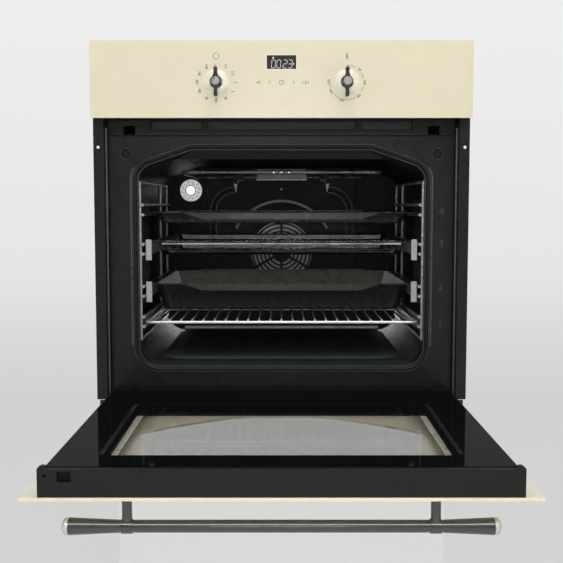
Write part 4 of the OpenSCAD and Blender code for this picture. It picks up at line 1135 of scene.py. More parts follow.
@dataclass
class ControlPanel:
    """Glass control panel with its carrier, display, touch symbols and dial prints."""

    shop: Workshop
    knob_x: float = 101.3
    knob_z: float = 530.5
    display_z: float = 561.5
    display_half_w: float = 22.5
    display_half_h: float = 10.25
    dial_r: float = 27.5
    marker_z: float = 570.7
    digit_w: float = 5.7
    digit_h: float = 12.0
    digit_z: float = 558.6
    digit_places: tuple[tuple[str, float], ...] = (("0", -12.4), ("0", -4.2), ("2", 5.6), ("3", 13.6))
    degrees: tuple[tuple[str, float], ...] = (
        ("50", 45), ("100", 90), ("150", 137), ("200", 195), ("250", 240), ("275", 272))

    def build(self) -> None:
        """Builds the panel and what stands behind it."""
        shop = self.shop
        shop.refine(IVORY_GLASS, 0.7, "panel_glass", segments=3)
        shop.refine(BLACK_PLASTIC, 0.4, "panel_carrier")
        shop.refine(DISPLAY, 0.2, "display_window")
        shop.refine(BOARD, 0.15, "control_board")
        shop.refine(WHITE_PLASTIC, 0.4, "function_switch", "temperature_switch")
        for piece in (self._digits(), self._border(), self._symbols(), self._function_dial(),
                      self._temperature_dial()):
            shop.settle(piece)

    def _pen(self) -> Printer:
        """Takes up a pen for the panel's face."""
        return Printer(self.shop, self.shop.facing(0.0, 0.0, 0.0))

    def _segment(self, printer: Printer, a: Point, b: Point) -> None:
        """Lights one segment of a digit, a bar with pointed ends from a to b.

        Args:
            printer: What prints it.
            a: One end.
            b: The other end.
        """
        p, q = Vector(a), Vector(b)
        along = (q - p).normalized()
        side = Vector((along.y, -along.x)) * 0.4
        p, q = p + along * 0.35, q - along * 0.35
        printer.fill([p, p + along * 0.5 + side, q - along * 0.5 + side, q, q - along * 0.5 - side,
                      p + along * 0.5 - side], DIGITS)

    def _digits(self) -> Piece:
        """Lights the display's digits and its two small signs.

        Returns:
            The digits.
        """
        digits = self._pen()
        w, h = self.digit_w / 2, self.digit_h / 2
        corners = {"a": ((-w, h), (w, h)), "b": ((w, h), (w, 0)), "c": ((w, 0), (w, -h)),
                   "d": ((-w, -h), (w, -h)), "e": ((-w, 0), (-w, -h)), "f": ((-w, h), (-w, 0)),
                   "g": ((-w, 0), (w, 0))}
        lit = {"0": "abcdef", "2": "abged", "3": "abgcd"}
        for figure, x in self.digit_places:
            for name in lit[figure]:
                ends = [(x + u + 0.07 * v, self.digit_z + v) for u, v in corners[name]]
                self._segment(digits, ends[0], ends[1])
        digits.fill([(18.6, self.digit_z - 2), (19.5, self.digit_z), (18.6, self.digit_z + 2),
                     (17.7, self.digit_z)], DIGITS)
        bell_z = self.display_z + 6.6
        digits.fill([(-14.4, bell_z - 1.2), (-11.2, bell_z - 1.2), (-11.9, bell_z + 0.9),
                     (-12.8, bell_z + 1.4), (-13.7, bell_z + 0.9)], DIGITS)
        return digits.done("display_digits")

    def _border(self) -> Piece:
        """Lays the display's pale border.

        Returns:
            The border.
        """
        border = self._pen()
        centre = (0.0, self.display_z)
        border.fill(oblong(self.display_half_w + 1.7, self.display_half_h + 1.7, 0.8, 4, centre), BORDER,
                    [oblong(self.display_half_w + 0.35, self.display_half_h + 0.35, 0.2, 4, centre)])
        return border.done("display_border")

    def _symbols(self) -> Piece:
        """Prints the touch symbols: lock, back, clock, forward and start or stop.

        Returns:
            The symbols.
        """
        pen = self._pen()
        z = self.knob_z
        pen.stroke([(-39.8, z), (-36.6, z)])
        pen.stroke([(-39.3, z), (-39.3, z - 1.2)])
        pen.arc((-34.9, z), 1.7, 0, 360)
        pen.stroke([(-17.2, z + 2.7), (-19.8, z), (-17.2, z - 2.7)])
        pen.arc((0.0, z), 3.5, 0, 360)
        pen.stroke([(0.0, z + 2.2), (0.0, z), (1.3, z)])
        pen.stroke([(17.6, z + 2.7), (20.2, z), (17.6, z - 2.7)])
        pen.stroke([(37.0, z + 3.4), (37.0, z - 4.2)])
        pen.stroke([(32.4, z + 1.9), (35.4, z), (32.4, z - 1.9)], closed=True)
        pen.stroke([(38.8, z + 1.6), (41.8, z + 1.6), (41.8, z - 1.6), (38.8, z - 1.6)], closed=True)
        return pen.done("touch_symbols")

    def _mark(self, pen: Printer, mark: str, x: float, z: float) -> None:
        """Prints the sign of one function.

        Args:
            pen: The pen.
            mark: fan for three lobes, grill for a zigzag, bulb for a lamp and bar for a heater.
            x: Middle of the sign.
            z: Its height.
        """
        if mark == "fan":
            for a in (0, 120, 240):
                t = math.radians(a)
                pen.arc((x + 1.1 * math.sin(t), z + 1.1 * math.cos(t)), 0.85, a, a + 360, 0.7)
        elif mark == "grill":
            pen.stroke([(x - 2.6 + 1.3 * k, z + (0.7 if k % 2 else -0.7)) for k in range(5)], 0.7)
        elif mark == "bulb":
            pen.arc((x, z), 1.3, -140, 140, 0.7)
            pen.stroke([(x - 0.7, z - 1.8), (x + 0.7, z - 1.8)], 0.7)
        else:
            pen.stroke([(x - 2.6, z), (x + 2.6, z)], 0.9)

    def _function_dial(self) -> Piece:
        """Prints the functions round the left dial and the ring over it.

        Returns:
            The print.
        """
        pen = self._pen()
        dial = [
            (30, ("bulb", "grill")), (60, ("bar", "bar")), (90, ("bar",)), (120, ("bar",)), (150, ("fan",)),
            (180, ("fan", "bar")), (210, ("fan",)), (240, ("fan", "bar")), (270, ("fan", "bar")),
            (300, ("grill", "fan")), (330, ("bulb", "fan"))]
        for angle, marks in dial:
            t = math.radians(angle)
            x = -self.knob_x + (self.dial_r + 2.2) * math.sin(t)
            z = self.knob_z + (self.dial_r + 0.6) * math.cos(t)
            for k, mark in enumerate(marks):
                self._mark(pen, mark, x, z + (0.5 * (len(marks) - 1) - k) * 3.6)
        pen.arc((-self.knob_x, self.marker_z), 4.5, 40, 385, 0.75)
        return pen.done("function_print")

    def _temperature_dial(self) -> Piece:
        """Prints the temperatures and ticks round the right dial and the thermometer over it.

        Returns:
            The print.
        """
        pen = self._pen()
        for figure, angle in self.degrees:
            t = math.radians(angle)
            middle = (self.knob_x + self.dial_r * math.sin(t), self.knob_z + self.dial_r * math.cos(t))
            pen.words(figure, middle, 3.7, angle)
        for start, end in ((12, 30), (60, 76), (105, 122), (152, 165), (170, 182), (208, 226), (250, 262)):
            pen.arc((self.knob_x, self.knob_z), self.dial_r - 1.6, start, end, 0.4)
            for angle in range(start, end + 1, 6):
                t = math.radians(angle)
                ends = [(self.knob_x + r * math.sin(t), self.knob_z + r * math.cos(t))
                        for r in (self.dial_r - 1.6, self.dial_r + 0.4)]
                pen.stroke(ends, 0.6)
        x, z = self.knob_x, self.marker_z
        pen.stroke([(x - 0.9, z - 1.6), (x - 0.9, z + 3.4), (x, z + 4.5), (x + 0.9, z + 3.4),
                    (x + 0.9, z - 1.6)], 0.7)
        pen.arc((x, z - 3.0), 1.7, 0, 360, 0.7)
        pen.stroke([(x, z - 2.4), (x, z + 1.8)], 0.7)
        return pen.done("temperature_print")


@dataclass
class RotaryKnob:
    """Knob of a pale domed skirt and a dark waisted grip on a shaft."""

    shop: Workshop
    kind: str
    x: float
    z: float = 530.5
    skirt_r: float = 20.5
    skirt_gap: float = 0.6
    skirt_top: float = 6.0
    grip_up: float = 26.0
    grip_down: float = 22.5
    reach: float = 20.0
    hub_r: float = 6.5

    @property
    def place(self) -> Place:
        """Placing function beside the knob's axis, heights in front of the panel."""
        return self.shop.facing(self.x, 0.0, self.z)

    def build(self) -> None:
        """Builds the skirt, the grip and the shaft."""
        self.shop.settle(self._skirt(), [self.kind + "_skirt"])
        self.shop.settle(self._grip(), [self.kind + "_grip"])
        self.shop.refine(ZINC, 0.3, self.kind + "_shaft")

    def _skirt(self) -> Piece:
        """Turns the domed skirt with its fine edge groove.

        Returns:
            The skirt.
        """
        r, gap, top = self.skirt_r, self.skirt_gap, self.skirt_top
        profile = [(0.0, gap), (r - 0.5, gap), (r, gap + 0.4), (r, gap + 1.1), (r - 0.5, gap + 1.6),
                   (r - 1.2, gap + 1.5), (r - 1.5, gap + 1.8)]
        for k in range(1, 9):
            f = k / 8
            radius = (r - 1.5) * (1 - f) + 12.0 * f
            profile.append((radius, gap + 1.8 + (top - gap - 1.8) * math.sin(f * math.pi / 2)))
        profile += [(0.0, top)]
        return self.shop.lathe(self.kind + "_skirt_piece", profile, self.place, IVORY_PLASTIC)

    def _grip_outline(self) -> list[Vector]:
        """Outline of the waisted bar with its pointed upper end.

        Returns:
            Its points in millimetres.
        """
        h, g = self.grip_up, self.grip_down
        corners = [(-3.2, -g), (3.2, -g), (2.4, -g / 2), (5.4, -5), (5.4, 5), (2.4, h / 2), (3.3, h - 7),
                   (0, h), (-3.3, h - 7), (-2.4, h / 2), (-5.4, 5), (-5.4, -5), (-2.4, -g / 2)]
        return rounded(corners, [1.6, 1.6, 12, 3, 3, 12, 1.5, 0.8, 1.5, 12, 3, 3, 12], 6)

    def _grip(self) -> Piece:
        """Builds the bar, its collar, the bright insets and the hub cap.

        Returns:
            The grip.
        """
        shop, top = self.shop, self.skirt_top
        outline = self._grip_outline()
        shrunk = [Vector((p.x * 0.86, p.y * 0.985)) for p in outline]
        bar = shop.loft("bar", [[self.place(p.x, p.y, h) for p in ring] for ring, h in (
            (outline, top + 3), (outline, self.reach - 0.9), (shrunk, self.reach))], KNOB_METAL)
        collar = shop.lathe("collar", [(0, top + 0.3), (9.6, top + 0.3), (9.9, top + 0.8), (9.6, top + 3.4),
                                       (9.0, top + 4.0), (0, top + 4.0)], self.place, KNOB_METAL)
        hub = shop.lathe("hub", [(0, self.reach - 1), (self.hub_r, self.reach - 1),
                                 (self.hub_r, self.reach + 1.6), (self.hub_r - 0.7, self.reach + 2.3),
                                 (0, self.reach + 2.5)], self.place, KNOB_CAP)
        parts = [bar, collar, hub]
        for start in (-16, 170):
            angles = [start + 34 * k / 6 for k in range(7)]
            outline = [polar(9.4, a) for a in angles] + [polar(7.2, a) for a in reversed(angles)]
            parts.append(shop.plate("inset", outline, [], self.place, top + 3.9, top + 5.2, BRIGHT))
        pen = Printer(shop, shop.facing(self.x, -self.reach, self.z))
        pen.stroke([(0.0, self.grip_up - 5), (0.0, self.grip_up - 1.6)], 0.8, BORDER)
        parts += pen.parts
        return shop.join(self.kind + "_grip_piece", parts)


@dataclass
class FrontFrame:
    """Enamelled front plate with its vent trim, buffers, woven gasket and level figures."""

    shop: Workshop
    plate_y: float = 42.0
    mouth: tuple[Point, ...] = (
        (230.0, 80.0), (230.0, 398.6), (144.0, 428.0), (-144.0, 428.0), (-230.0, 398.6), (-230.0, 80.0))
    mouth_radii: tuple[float, ...] = (30, 28, 30, 30, 28, 30)
    figure_x: float = 258.5
    figures: tuple[tuple[str, float], ...] = (("1", 147.0), ("2", 208.0), ("3", 279.0), ("4", 330.0))
    buffer_x: float = 250.0
    buffer_z: float = 423.0
    strip_in: float = 281.0
    foot_z: float = 10.0
    strip_low: float = 22.4
    lip_x: float = 278.8
    lip_y: float = 29.0
    lip_ends: Point = (24.0, 463.0)
    flange_x: float = 242.6
    flange_ends: Point = (112.0, 384.0)
    groove_z: float = 451.6
    vent_z: float = 467.0
    baffle_deep: float = 19.5
    latch_at: Point = (244.5, 460.0)

    def build(self) -> None:
        """Builds the front plate and what is fixed to it."""
        shop = self.shop
        shop.refine(FRONT_ENAMEL, 0.5, "front_frame")
        shop.refine(BLACK_PLASTIC, 0.35, "vent_trim")
        shop.settle(self._buffers(), ["frame_buffers"])
        shop.settle(self._gasket(), ["mouth_gasket"])
        for piece in (self._feet(), self._lips(), self._baffles(), self._level_figures()):
            shop.settle(piece)

    def _level_figures(self) -> Piece:
        """Embosses the figures of the rack's levels.

        Returns:
            The figures.
        """
        pen = Printer(self.shop, self.shop.facing(0.0, self.plate_y, 0.0))
        for figure, z in self.figures:
            pen.words(figure, (self.figure_x, z), 11.0, finish=EMBOSSED, raised=0.25)
        return pen.done("level_figures")

    def _buffers(self) -> Piece:
        """Turns the two ringed rubber buffers.

        Returns:
            The buffers.
        """
        shop, parts = self.shop, []
        profile = [(0, 0.15), (8.0, 0.15), (8.25, 0.6), (8.1, 2.4), (7.6, 3.0), (6.2, 3.0), (5.4, 2.2),
                   (5.0, 1.6), (2.6, 1.5), (2.2, 2.3), (0, 2.4)]
        for side in (-1, 1):
            place = shop.facing(side * self.buffer_x, self.plate_y, self.buffer_z)
            parts.append(shop.lathe("buffer", profile, place, SEAL, 48))
            # Painted highlight: a pale ring round each buffer.
            rim = [place(a, b, 0.3) for a, b in round_section(8.9, 36)]
            parts.append(shop.wire("buffer_rim", rim, 0.7, INTO, SEAL_EDGE_HIGHLIGHT, 8, True))
        return shop.join("frame_buffers_piece", parts)

    def _feet(self) -> Piece:
        """Carries the plate's side strips on down to the door's corners, black as painted shade.

        Returns:
            The feet.
        """
        # Painted shade: the feet are black where there is only the shade of the niche below the frame.
        edge = self.shop.limits("front_frame")[1].x
        place = self.shop.facing(0.0, self.plate_y, 0.0, -1)
        size = (edge - self.strip_in) / 2, (self.strip_low - self.foot_z) / 2
        parts = []
        for side in (-1, 1):
            middle = side * (edge + self.strip_in) / 2, (self.strip_low + self.foot_z) / 2
            parts.append(self.shop.plate("foot", oblong(*size, 0.8, 3, middle), [], place, 0.0, 1.5,
                                         FRONT_ENAMEL))
        return self.shop.join("frame_feet", parts)

    def _lips(self) -> Piece:
        """Rolls the pale lips beside the side strips and the mouth as painted highlights, and the black
        groove over it as painted shade.

        Returns:
            The lips.
        """
        shop, parts = self.shop, []
        flange_y = self.plate_y - 0.4
        for side in (-1, 1):
            low, high = self.lip_ends
            strip = [shop.at(side * self.lip_x, self.lip_y, z) for z in (low, (low + high) / 2, high)]
            parts.append(shop.wire("lip", strip, 2.0, INTO, LIP_PAINTED_HIGHLIGHT))
            low, high = self.flange_ends
            flange = [(0.0, low), (0.0, (low + high) / 2), (0.0, high), (1.6, high + 9.0), (5.6, high + 17.0)]
            path = [shop.at(side * (self.flange_x - inward), flange_y, z) for inward, z in flange]
            parts.append(shop.wire("lip", path, 1.5, INTO, LIP_PAINTED_HIGHLIGHT))
        # Painted shade: a black bead in the groove where shade falls.
        groove = [shop.at(x, self.plate_y - 0.1, self.groove_z) for x in (-272.0, 0.0, 272.0)]
        parts.append(shop.wire("groove", groove, 0.8, INTO, SHADE_BLACK, 8))
        return shop.join("frame_lips", parts)

    def _baffles(self) -> Piece:
        """Sets the baffle behind the vent outlets and the backs of the latch pockets, these backs black as
        painted shade.

        Returns:
            The baffles.
        """
        shop, deep = self.shop, self.baffle_deep
        place = shop.facing(0.0, self.plate_y, 0.0, -1)
        strip = oblong(212.0, 11.0, 3, 4, (0.0, self.vent_z))
        parts = [shop.plate("baffle", strip, [], place, deep, deep + 0.8, BAFFLE)]
        for side in (-1, 1):
            back = oblong(12.0, 8.0, 2, 4, (side * self.latch_at[0], self.latch_at[1]))
            parts.append(shop.plate("latch_back", back, [], place, deep + 1.2, deep + 2.0, SHADE_BLACK))
        return shop.join("frame_baffles", parts)

    def _mouth_path(self, out: float, lift: float) -> list[Vector]:
        """Path round the mouth, out from its edge and lifted off the plate."""
        shape = rounded(grown(self.mouth, out), [r + out for r in self.mouth_radii], 14)
        return [self.shop.at(p.x, self.plate_y - lift, p.y) for p in shape]

    def _gasket(self) -> Piece:
        """Carries the gasket's flat band and round bead round the mouth.

        Returns:
            The gasket.
        """
        shop = self.shop
        bead = [(2.7 * a, -1.2 - 2.4 * b) for a, b in (polar(1.0, angle) for angle in range(160, 15, -20))]
        section = [(-5.0, -0.2), (-5.0, -1.2), (-2.6, -1.5)] + bead + [(2.9, -1.4), (6.0, -1.2), (6.0, -0.2)]
        parts = [shop.sweep("gasket", self._mouth_path(6.0, 0.0), section, INTO, SEAL)]
        # Painted highlight: pale thin wires along both edges of the gasket.
        for out, radius in ((1.2, 0.55), (9.6, 0.7)):
            parts.append(shop.wire("edge", self._mouth_path(out, 1.2), radius, INTO, SEAL_EDGE_HIGHLIGHT, 8, True))
        return shop.join("mouth_gasket_piece", parts)


@dataclass
class Cavity:
    """Enamelled cavity with its floor pressing, fan cover, lamp, heaters, racks and insulation."""

    shop: Workshop
    floor_z: float = 86.0
    floor_half_x: float = 203.0
    floor_front: float = 66.0
    floor_back: float = 436.0
    cover_y: float = 419.0
    fan_z: float = 245.0
    ring_r: float = 103.5
    clip_x: float = 92.0
    clip_z: float = 376.0
    hook_at: Point = (83.0, 394.8)
    lens_x: float = -185.0
    lens_z: float = 370.0
    lens_front: float = 442.0
    facets: int = 12
    back_y: float = 450.8
    seam_r: float = 6.0
    outlet: Point = (94.5, 328.0)
    outlet_r: Point = (37.0, 48.0)
    outlet_low: float = 259.0
    wall_x: float = 232.2
    sheet_at: Point = (128.0, 262.0)
    sheet_half: Point = (42.0, 87.0)
    back_corners: tuple[Point, ...] = (
        (233.0, 86.0), (233.0, 390.6), (169.0, 415.0), (-169.0, 415.0), (-233.0, 390.6), (-233.0, 86.0))
    back_radii: tuple[float, ...] = (33, 22, 30, 30, 22, 33)
    grill_front: float = 91.5
    grill_z: float = 395.0
    rod_half: float = 150.0
    tube_clips: tuple[float, ...] = (-12.5, 0.0, 12.5)
    hood_x: float = 88.0
    hood_ends: Point = (384.6, 402.0)
    tab_w: float = 11.0
    cover_screw_z: float = 372.0

    def build(self) -> None:
        """Builds the cavity and all that is fixed in it."""
        shop = self.shop
        shop.refine(CAVITY_ENAMEL, 0.0, "cavity_liner", sharp=35)
        shop.refine(CAVITY_ENAMEL, 0.2, "cavity_back")
        shop.refine(WOOL, 1.5, "insulation", sharp=40)
        shop.refine(CAVITY_ENAMEL, 0.6, "fan_cover")
        for piece in (self._floor(), self._clips(), self._seam(), self._outlet_edges(), self._wall_sheets(),
                      self._fan_ring(), self._bracket(), self._reflector()):
            shop.settle(piece)
        shop.settle(self._lens(), ["lamp_lens"])
        shop.refine(ZINC, 0.4, "lamp_housing")
        shop.refine(LAMP_GLOW, 0.0, "lamp_bulb")
        shop.refine(HEATER, 0.0, "ring_heater", "grill_heater", "bottom_heater", sharp=40)
        shop.refine(RACK_CHROME, 0.0, "side_racks", sharp=50)
        shop.refine(MOTOR_STEEL, 0.6, "fan_motor")
        shop.refine(ZINC, 0.2, "lower_rails", "upper_rails", "lower_middles", "upper_middles")
        shop.refine(RUNNER_STEEL, 0.5, "lower_slides", "upper_slides")

    def _floor(self) -> Piece:
        """Lofts the raised pressing of the floor, its enamel lightened as painted light.

        Returns:
            The floor.
        """
        middle, half = (self.floor_front + self.floor_back) / 2, (self.floor_back - self.floor_front) / 2
        rings = []
        for inset, radius, height in ((0, 48, 0.05), (2.5, 46, 0.4), (7.5, 42, 2.3), (10.5, 40, 2.7),
                                      (26, 30, 2.7), (29, 28, 2.3), (34, 24, 0.9), (37, 22, 0.6)):
            ring = oblong(self.floor_half_x - inset, half - inset, radius, 12, (0.0, middle))
            rings.append([self.shop.at(p.x, p.y, self.floor_z + height) for p in ring])
        return self.shop.loft("cavity_floor_pressing", rings, FLOOR_PAINTED_LIGHT)

    def _clips(self) -> Piece:
        """Folds the two bright triangular clips of the fan cover and the hooks behind them.

        Returns:
            The clips.
        """
        shop, parts = self.shop, []
        for side in (-1, 1):
            x, z, y = side * self.clip_x, self.clip_z, self.cover_y
            corners = [(x - side * 3.4, z + 6.5), (x + side * 4.2, z + 7.5), (x - side * 0.4, z - 10.5)]
            points = [shop.at(a, y - 0.1, b) for a, b in corners]
            points += [shop.at(a, y - 4.2 if b < z else y - 1.4, b) for a, b in corners]
            faces = [[0, 1, 2], [5, 4, 3], [0, 3, 4, 1], [1, 4, 5, 2], [2, 5, 3, 0]]
            parts.append(shop.mesh("clip", points, faces, BRIGHT_CLIP))
        place = shop.facing(0.0, self.cover_y - 6, 0.0)
        for side in (-1, 1):
            hook = oblong(6.0, 7.2, 1.5, 4, (side * self.hook_at[0], self.hook_at[1]))
            parts.append(shop.plate("hook", hook, [], place, 0.1, 1.8, BRACKET_STEEL))
        return shop.join("fan_cover_clips", parts)

    def _fan_ring(self) -> Piece:
        """Rounds a pale arc over the top of the fan's slots, a painted highlight on the pressed ring.

        Returns:
            The ring.
        """
        place = self.shop.facing(0.0, self.cover_y, self.fan_z)
        path = [place(*polar(self.ring_r, a), 1.6) for a in range(28, 153, 4)]
        return self.shop.wire("fan_cover_ring", path, 3.6, INTO, RING_PAINTED_HIGHLIGHT)

    def _wall_sheets(self) -> Piece:
        """Lays the thin sheet on each side wall behind the rack's front upright.

        Returns:
            The sheets.
        """
        outline = oblong(*self.sheet_half, 4, 6, self.sheet_at)
        parts = []
        for side in (-1, 1):
            parts.append(self.shop.plate("sheet", outline, [], lambda a, b, h, s=side: self.shop.at(
                s * (self.wall_x - h), a, b), 0.2, 0.9, WALL_SHEET))
        return self.shop.join("cavity_wall_sheets", parts)

    def _outlet_edges(self) -> Piece:
        """Runs a pale edge, a painted highlight, along both sides of the fan cover's two outlet channels.

        Returns:
            The edges.
        """
        shop, parts = self.shop, []
        x, z = self.outlet
        for side in (-1, 1):
            for r in self.outlet_r:
                turn = [(x + a, z + b) for a, b in (polar(r, 90 * k / 16) for k in range(17))]
                path = [shop.at(side * a, self.cover_y - 0.3, b)
                        for a, b in [(x + r, self.outlet_low), (x + r, z - 20)] + turn]
                parts.append(shop.wire("edge", path, 0.8, INTO, PALE_EDGE_HIGHLIGHT, 10))
        return shop.join("fan_cover_outlet_edges", parts)

    def _seam(self) -> Piece:
        """Runs the rounded corner between the cavity's walls and its back, pale as a painted highlight.

        Returns:
            The seam.
        """
        shape = rounded(self.back_corners, self.back_radii, 12)
        path = [self.shop.at(p.x, self.back_y, p.y) for p in shape]
        r = self.seam_r
        bow = [(a - r, b - r) for a, b in (polar(r, angle) for angle in range(10, 81, 10))]
        section = [(0.1, 0.3), (0.1, -r)] + bow + [(-r, -0.1), (-r, 0.3)]
        return self.shop.sweep("cavity_rear_corner", path, section, INTO, SEAM_PAINTED_HIGHLIGHT)

    def _bracket(self) -> Piece:
        """Folds the bracket of the grill's front tube, with the hood, the screw and the floor's rear bead.

        Returns:
            The bracket.
        """
        shop, half = self.shop, self.rod_half
        place = shop.facing(0.0, self.grill_front + 3.4, 0.0, -1)
        plate, lip = oblong(41.0, 8.5, 1.0, 4, (0.0, 391.5)), oblong(42.0, 0.6, 0.5, 3, (0.0, 382.6))
        # The lip's pale edge is a painted highlight.
        parts = [shop.plate("plate", plate, [], place, 0.0, 0.9, BRACKET_STEEL),
                 shop.plate("lip", lip, [], place, -2.5, 0.9, PALE_EDGE_HIGHLIGHT)]
        y, z = self.grill_front, self.grill_z
        profile = [(3.3, -1.6), (4.1, -1.6), (4.4, 0.0), (4.1, 1.6), (3.3, 1.6)]
        for x in self.tube_clips:
            parts.append(shop.lathe("clip", profile, lambda a, b, h, x=x: shop.at(x + h, y + a, z + b),
                                    BRIGHT, 24))
        # Painted shade and highlight: the hood is black for the shade behind the grill, and its tabs are pale
        # for light on its edges.
        place = shop.facing(0.0, self.cover_y - 5.0, 0.0, -1)
        low, high = self.hood_ends
        tall, level = (high - low) / 2, (low + high) / 2
        parts.append(shop.plate("hood", oblong(self.hood_x - self.tab_w, tall, 1, 3, (0.0, level)), [], place,
                                0.0, 1.2, SHADE_BLACK))
        for side in (-1, 1):
            tab = oblong(self.tab_w / 2, tall, 1, 3, (side * (self.hood_x - self.tab_w / 2), level))
            parts.append(shop.plate("tab", tab, [], place, 0.0, 1.2, PALE_EDGE_HIGHLIGHT))
        parts.append(shop.lathe("cover_screw", [(0, -0.2), (2.2, -0.2), (2.2, 0.6), (1.4, 1.5), (0, 1.8)],
                                shop.facing(0.0, self.cover_y, self.cover_screw_z), BRIGHT_CLIP, 16))
        # Painted light: the floor's rear bead glows pale.
        bead = [shop.at(x, self.back_y - 12.6, self.floor_z + 4.0) for x in (-198.0, 0.0, 198.0)]
        parts.append(shop.wire("floor_bead", bead, 3.1, UP, REAR_BAND_PAINTED_GLOW))
        rod = [shop.at(x, self.grill_front, self.grill_z) for x in (-half, 0.0, half)]
        parts.append(shop.wire("rod", rod, 2.2, UP, HEATER, 14))
        return shop.join("grill_bracket", parts)

    def _reflector(self) -> Piece:
        """Turns the bright dish behind the lamp's lens.

        Returns:
            The reflector.
        """
        place = self.shop.facing(self.lens_x, self.lens_front + 10.0, self.lens_z, -1)
        return self.shop.lathe("lamp_reflector", [(20.6, 0.0), (21.2, 0.0), (14.0, 14.0), (10.6, 15.0),
                                                  (10.2, 14.4), (13.4, 13.4)], place, REFLECTOR, 48)

    def _lens(self) -> Piece:
        """Builds the lamp's lens: a plain rim and a faceted dome.

        Returns:
            The lens.
        """
        shop, count = self.shop, 2 * self.facets
        place = shop.facing(self.lens_x, self.lens_front + 8.0, self.lens_z)
        rings = [[place(a, b, h) for a, b in round_section(r, count)] for r, h in
                 ((12.0, 2.0), (19.2, -1.0), (19.2, -9.0))]
        for radius, height, shift in ((22.1, -9.0, 0.0), (22.1, 0.0, 0.0), (21.5, 0.6, 0.0), (18.5, 3.6, 0.5),
                                      (13.5, 6.0, 0.0), (7.0, 7.6, 0.5)):
            ring = []
            for k in range(count):
                t = 2 * math.pi * (k / 2 + shift * 0.5) / self.facets
                wave = 1.0 if k % 2 or height < 1 else 0.93
                ring.append(place(radius * wave * math.cos(t), radius * wave * math.sin(t), height))
            rings.append(ring)
        eye, rim, bore = (round_section(radius, 40) for radius in (9.0, 11.0, 9.6))
        parts = [shop.loft("lens", rings, LENS_GLASS, sharp=12),
                 shop.plate("eye", eye, [], place, 5.6, 8.4, LENS_EYE),
                 shop.plate("ring", rim, [bore], place, 5.2, 7.6, LENS_SHADE)]
        for k in range(self.facets):
            x, z = polar(16.6, 360 * (k + 0.5) / self.facets)
            spot = [(a + x, b + z) for a, b in round_section(1.1, 8)]
            parts.append(shop.plate("spot", spot, [], place, 3.8, 5.3, LENS_SHADE))
        return shop.join("lamp_lens_piece", parts)


